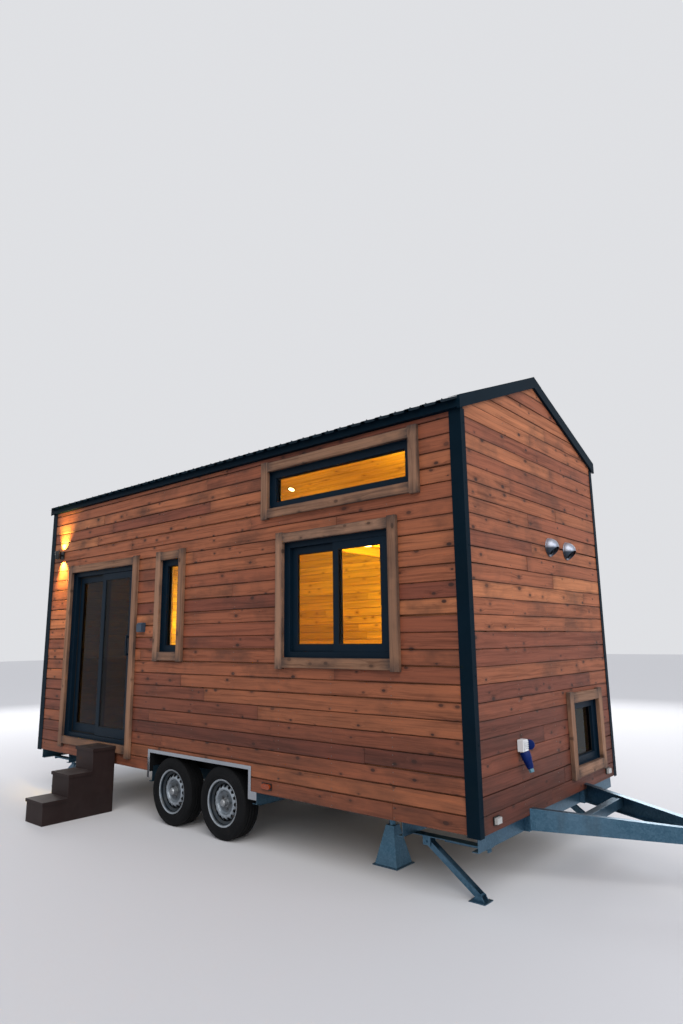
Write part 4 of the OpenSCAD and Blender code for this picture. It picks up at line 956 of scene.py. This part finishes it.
# Painted shade and reflection: the steel is dark where it faces down and light where it faces up.
shaded = f.ramp(
    f.maths("MULTIPLY_ADD", facing, 0.5, 0.5),
    (0.42, (0.050, 0.066, 0.090)), (0.51, (0.30, 0.32, 0.38)), (1.0, (0.38, 0.40, 0.47)))
brushed = f.noise(f.here(), (300, 40, 40), 3.0)
f.feed("Base Color", f.mix(1.0, shaded, f.ramp(brushed, (0.3, 0.90), (0.7, 1)), "MULTIPLY"))
f.raised(brushed, 0.0001, 0.4)
print(hood_steel.material.name, "nodes", len(hood_steel.tree.nodes))

# %% Hoods of the vents
hood_r, hood_sheet = 0.0765, 0.0016


def hood(centre):
    """Half a ball against the wall, cut from its tip down to the wall."""
    ball = bmesh.new()
    bmesh.ops.create_uvsphere(ball, u_segments=48, v_segments=32, radius=hood_r)
    for spot, away in (((0, 0, 0), (-1, 0, 0)), ((hood_r, 0, 0), (1, 0, -1))):
        whole = ball.verts[:] + ball.edges[:] + ball.faces[:]
        bmesh.ops.bisect_plane(ball, geom=whole, plane_co=spot, plane_no=away, clear_outer=True)
    bmesh.ops.solidify(ball, geom=ball.faces[:], thickness=hood_sheet)
    ball.verts.index_update()
    corners = [tuple(Vector(centre) + v.co) for v in ball.verts]
    faces = [[v.index for v in face.verts] for face in ball.faces]
    ball.free()
    return corners, faces, {}


vent_low, vent_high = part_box("vent_cowls")
vent_r = (vent_high.z - vent_low.z) / 2
vents = [(end_face.x, y, (vent_low.z + vent_high.z) / 2) for y in (vent_low.y + vent_r, vent_high.y - vent_r)]
flange = [(0.0, vent_r + 0.004), (0.0025, vent_r + 0.004), (0.0040, vent_r + 0.002), (0.0040, 0.001)]
hoods = [hood((x + 0.002, y, z)) for x, y, z in vents]
flanges = [turned(flange, vent, (1, 0, 0), 64) for vent in vents]
vent_hoods = make_piece("vent_hoods", joined(*hoods, *flanges), hood_steel, smooth=True)
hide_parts("vent_cowls")
# Painted shade: a black disc inside each hood stands for the dark duct behind its mouth.
throat = [(0.004, 0.060), (0.0055, 0.060)]
make_piece("vent_throats", joined(*[turned(throat, v, (1, 0, 0)) for v in vents]), undercoat)

# %% Ribbed box of the power inlet
def bars(boxes):
    """Plain bars from their low and high corners."""
    corners, faces = [], []
    for box in boxes:
        start = len(corners)
        corners += [tuple(box[(k >> axis) & 1][axis] for axis in range(3)) for k in range(8)]
        faces += [[start + k for k in ring] for ring in (
            (0, 2, 3, 1), (4, 5, 7, 6), (0, 1, 5, 4), (2, 6, 7, 3), (0, 4, 6, 2), (1, 3, 7, 5))]
    return corners, faces, {}


inlet_low, inlet_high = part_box("power_inlet")
inlet_y = (inlet_low.y + inlet_high.y) / 2
inlet_bottom, inlet_front, rib_pitch = inlet_high.z - 0.076, end_face.x + 0.046, 0.0135
inlet_axis = Vector((-math.sin(math.radians(20)), 0, math.cos(math.radians(20))))
collar_top = Vector((end_face.x + 0.030, inlet_y, inlet_bottom + 0.010))
rib_feet = [inlet_bottom + 0.008 + rib_pitch * k for k in range(5)]
ribbed = bars([
    ((end_face.x, inlet_y - 0.037, inlet_bottom), (inlet_front, inlet_y + 0.037, inlet_bottom + 0.081)),
    *[((inlet_front, inlet_y - 0.030, foot), (end_face.x + 0.054, inlet_y + 0.030, foot + 0.0105))
      for foot in rib_feet]])
collar = turned([(-0.034, 0.030), (0.0, 0.030)], collar_top, inlet_axis)
inlet_box = make_piece("inlet_box", joined(ribbed, collar), white_plastic)
inlet_box.modifiers.new("eased edge", "BEVEL").width = 0.0022
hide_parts("power_inlet")

# %% Plug, lid and nut
grip = [
    (-0.118 + 0.006 * k + 0.0015 * j, 0.0235 + 0.0009 * k + (0.0014 if j in (1, 2) else 0))
    for k in range(8) for j in range(4)]
plug = turned([
    (-0.128, 0.020), (-0.120, 0.022), *grip, (-0.068, 0.031), (-0.060, 0.0345), (-0.018, 0.0365),
    (-0.012, 0.034)], collar_top, inlet_axis)
lid_centre = Vector((end_face.x + 0.056, inlet_y + 0.041, inlet_low.z + 0.073))
lid = turned([(0.0, 0.030), (0.002, 0.0345), (0.010, 0.0345), (0.013, 0.031)], lid_centre, (-0.25, 0.97, 0))
inlet_plug = make_piece("inlet_plug", joined(plug, lid), blue_plastic, smooth=True)
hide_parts("inlet_connector")
nut = turned([(-0.152, 0.014), (-0.148, 0.018), (-0.130, 0.0195), (-0.127, 0.0195)], collar_top, inlet_axis, 6)
make_piece("inlet_nut", nut, nut_plastic)

# %% [markdown]
# ## Small parts in great number
# Screws, gaskets and marker plates are small, but they give a house its scale.
# A particle system or an array could scatter them, but each has its own place by rule: two to a board at each
# batten, one to each crest of the roof.
# So a list of places becomes one run of short turned pins, and the rest are flat bars.

# %% Screws in the boards
def studs(places, radius, low, high, sides=8):
    """A short pin on each place; a place is a point and the way out of its surface."""
    return joined(*[turned([(low, radius), (high, radius)], point, out, sides) for point, out in places])


def screw_rows(out, place, u_span, z_span, holes, limit, pitch=0.58, clear=0.03, from_edge=0.026,
               from_end=0.05):
    """Two screws a board on each batten, clear of the openings and of the roof."""
    found, count = [], round((u_span[1] - u_span[0]) / pitch)
    top = z_span[1] - (0.04 if limit else 0.0)
    for k in range(count + 1):
        u, z = u_span[0] + from_end + k * (u_span[1] - u_span[0] - 2 * from_end) / count, z_span[0]
        while z < top - course * 0.5:
            for height in (z + from_edge, z + course - from_edge):
                in_hole = any(
                    a - clear < u < b + clear and low - clear < height < high + clear
                    for a, b, low, high in holes)
                if height < top - 0.02 and not in_hole and (not limit or abs(u) < limit(height) - clear):
                    found.append((place(u, height, 0), out))
            z += course
    return found


board_screws = (
    screw_rows((0, -1, 0), *door_wall) + screw_rows((0, 1, 0), *back_wall)
    + screw_rows((1, 0, 0), *fore_wall) + screw_rows((-1, 0, 0), *rear_wall))
make_piece("board_screws", studs(board_screws, 0.0034, -0.0045, 0.0003), screw_steel)

# %% Screws in the roof
crest_pitch, crest_count, crest_rise = 0.1375, 42, 0.0215
screw_lines, clear_of_end = (0.20, 0.62, 1.02, 1.36), 0.10
first_crest = rear_face + (end_face.x - rear_face - crest_count * crest_pitch) / 2
roof_screws = []
for side in (-1, 1):
    out = Vector((0, side * math.sin(roof_angle), math.cos(roof_angle)))
    for k in range(crest_count):
        x = first_crest + (k + 0.5) * crest_pitch
        for down in screw_lines:
            if rear_face + clear_of_end < x < end_face.x - clear_of_end:
                y, z = middle_y + side * down * math.cos(roof_angle), ridge_z - down * math.sin(roof_angle)
                roof_screws.append((Vector((x, y, z)) + out * crest_rise, out))
washers, heads = studs(roof_screws, 0.0085, -0.0005, 0.0014, 12), studs(roof_screws, 0.0048, 0.0010, 0.0064, 6)
make_piece("roof_screws", joined(washers, heads), roof_steel)

# %% Screws in the corner trims
trim_low, trim_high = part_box("corner_trims")
first_up, pitch_up, from_end, from_side, trim_screws = 0.12, 0.435, 0.072, 0.038, []
for z in [boards_bottom + first_up + k * pitch_up for k in range(7)]:
    for x in (trim_low.x + from_end, trim_high.x - from_end):
        trim_screws += [((x, trim_low.y, z), (0, -1, 0)), ((x, trim_high.y, z), (0, 1, 0))]
    for y in (trim_low.y + from_side, trim_high.y - from_side):
        trim_screws += [((trim_high.x, y, z), (1, 0, 0)), ((trim_low.x, y, z), (-1, 0, 0))]
make_piece("trim_screws", studs(trim_screws, 0.0055, -0.0010, 0.0022, 10), roof_steel)

# %% Gaskets round the panes
def strips_round(a, b, low, high, width):
    """Four strips just inside the edge of a rectangle."""
    return [
        (a, a + width, low, high), (b - width, b, low, high),
        (a + width, b - width, low, low + width), (a + width, b - width, high - width, high)]


def gasket_bars(node, width=0.007, proud=0.0028):
    """Four narrow bars round each pane, on both of its faces."""
    boxes = []
    for _, pane in solids_of(node):
        low, high = pane.min(0), pane.max(0)
        thin = int(np.argmin(high - low))
        p, q = [k for k in range(3) if k != thin]
        for near, far in ((low[thin] - proud, low[thin]), (high[thin], high[thin] + proud)):
            for u0, u1, v0, v1 in strips_round(low[q], high[q], low[p], high[p], width):
                a, b = low.copy(), high.copy()
                a[[thin, q, p]], b[[thin, q, p]] = (near, u0, v0), (far, u1, v1)
                boxes.append((tuple(a), tuple(b)))
    return bars(boxes)


make_piece("window_gaskets", gasket_bars("window_panes"), gasket_rubber)
make_piece("door_gaskets", gasket_bars("door_sliding_pane"), gasket_rubber, "door_leaf")

# %% Reveals of the openings
def reveal(hole, face, way, axis, strip=0.002, deep=0.0195):
    """Four strips that cover the cut ends of the boards in front of a frame."""
    near, far = sorted((face, face + way * deep))
    return [
        ((u0, near, v0), (u1, far, v1)) if axis == 0 else ((near, u0, v0), (far, u1, v1))
        for u0, u1, v0, v1 in strips_round(*hole, strip)]


reveals = [strip for hole in windows_door for strip in reveal(hole, door_face, 1, 0)]
reveals += reveal(loft_hole, back_face, -1, 0) + reveal(end_hole, end_face.x, -1, 1)
make_piece("opening_reveals", bars(reveals), window_coat)

# %% Fins between the two tracks of the door
fin_y, fin_t, jamb, sill, lap = door_face + 0.063, 0.0014, 0.050, 0.042, 0.018
x0, x1, z0, z1 = door_hole[0] + jamb, door_hole[1] - jamb, door_hole[2] + sill, door_hole[3] - jamb
make_piece("door_fins", bars([((a, fin_y - fin_t, low), (b, fin_y + fin_t, high)) for a, b, low, high in (
    (x0, x1, z1 - lap, z1), (x0, x0 + lap, z0, z1 - lap), (x1 - lap, x1, z0, z1 - lap),
    (x0 + lap, x1 - lap, z0, z0 + 0.014))]), gasket_rubber)

# %% Black plates behind the marker lamps
rim, plates = 0.007, []
for _, lens in solids_of("marker_lamps"):
    low, high = lens.min(0), lens.max(0)
    a, b = low - rim, high + rim
    if low[0] < rear_face + 0.01:
        continue
    if high[0] > end_face.x + 0.005:
        a[0], b[0] = end_face.x, end_face.x + 0.008
    elif high[1] < middle_y:
        a[1], b[1] = door_face - 0.006, door_face
    else:
        a[1], b[1] = back_face, back_face + 0.006
    plates.append((tuple(a), tuple(b)))
make_piece("marker_plates", bars(plates), lamp_black)

# %% Black flashing round the wheel openings
aft, fore, _, over = wheel_hole
sheet, flashings = 0.002, []
for y0, y1 in ((door_face + 0.0005, door_face + clad_t), (back_face - clad_t, back_face - 0.0005)):
    flashings += [((x0, y0, z0), (x1, y1, over)) for x0, x1, z0 in (
        (aft, aft + sheet, boards_bottom), (fore - sheet, fore, boards_bottom),
        (aft + sheet, fore - sheet, over - sheet))]
make_piece("arch_flashings", bars(flashings), undercoat)

# %% [markdown]
# ## Warm light inside
# Behind the windows lamps are on, and the pine turns their light yellow.
# Four soft lamps in the room are enough; they are lights of the scene, not pieces, and no camera sees them.
# The wall lamp by the door shines up and down the boards, so two narrow spots sit where its bulbs would be.
# Flat turned discs that glow show where the light comes from, in its mouths and under the ceiling.

# %% Room lamps
loft_low, loft_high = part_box("loft_floor")
for name, back_from_end, aside, height, power in (
        ("kitchen glow", 1.3, 0.25, loft_low.z - 0.22, 95), ("loft glow", 1.3, -0.1, loft_high.z + 0.42, 30),
        ("living glow", 3.0, 0.1, 2.75, 14), ("rear glow", 5.35, 0.72, 2.0, 20)):
    lamp = light(
        name, "POINT", (end_face.x - back_from_end, middle_y + aside, height), power, (1.0, 0.72, 0.10),
        shadow_soft_size=0.09)
    lamp.visible_camera = lamp.visible_transmission = lamp.visible_glossy = False
lamp_low, lamp_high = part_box("wall_lamp")
lamp_x = (lamp_low.x + lamp_high.x) / 2
for name, height, way, power in (
        ("lamp up", lamp_high.z - 0.012, 1, 120), ("lamp down", lamp_low.z + 0.012, -1, 150)):
    light(name, "SPOT", (lamp_x, lamp_low.y + 0.026, height), power, (1.0, 0.62, 0.12), (0.16, 0.56, way),
          spot_size=math.radians(84), spot_blend=0.9, shadow_soft_size=0.02)
print("lights", len(bpy.data.lights))

# %% Lit discs of the lamps
glow = f = Finish("lit lamp disc", 0.4, 0.0, (1.0, 0.8, 0.5))
f.shader.inputs["Emission Strength"].default_value = 14.0
f.feed("Emission Color", f.ramp(f.noise(f.here(), 60.0), (0.3, (1.0, 0.52, 0.14)), (0.7, (1.0, 0.66, 0.26))))
lamp_y, mouth = lamp_low.y + 0.034, 0.019
wall_discs = [
    ((lamp_x, lamp_y, lamp_low.z + mouth), (0, 0, -1)), ((lamp_x, lamp_y, lamp_high.z - mouth), (0, 0, 1))]
make_piece("wall_lamp_discs", studs(wall_discs, 0.027, 0, 0.0015, 24), glow)
aside, roof_t = 0.496, 0.1294
slope_point = Vector(
    (end_face.x - 3.390, middle_y + aside, ridge_z - roof_t - ceiling_t * 1.2 - aside * slope))
ceiling_spots = [
    ((end_face.x - 1.744, middle_y - 0.100, loft_low.z), (0, 0, -1)),
    (slope_point, (0, -math.sin(roof_angle), -math.cos(roof_angle)))]
make_piece("ceiling_lamp_rims", studs(ceiling_spots, 0.046, 0.0, 0.010, 32), bright_steel)
make_piece("ceiling_lamp_discs", studs(ceiling_spots, 0.036, 0.009, 0.0115, 32), glow)

# %% [markdown]
# ## Close
# The lesson ends by printing the size of the frame and the size of everything that shows.

# %% Sizes and finish
bpy.context.scene.view_settings.view_transform = "Standard"
shown_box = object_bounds()
for name, box in (("frame", frame_box), ("shown", shown_box)):
    print(name, [[round(c, 3) for c in corner] for corner in box])
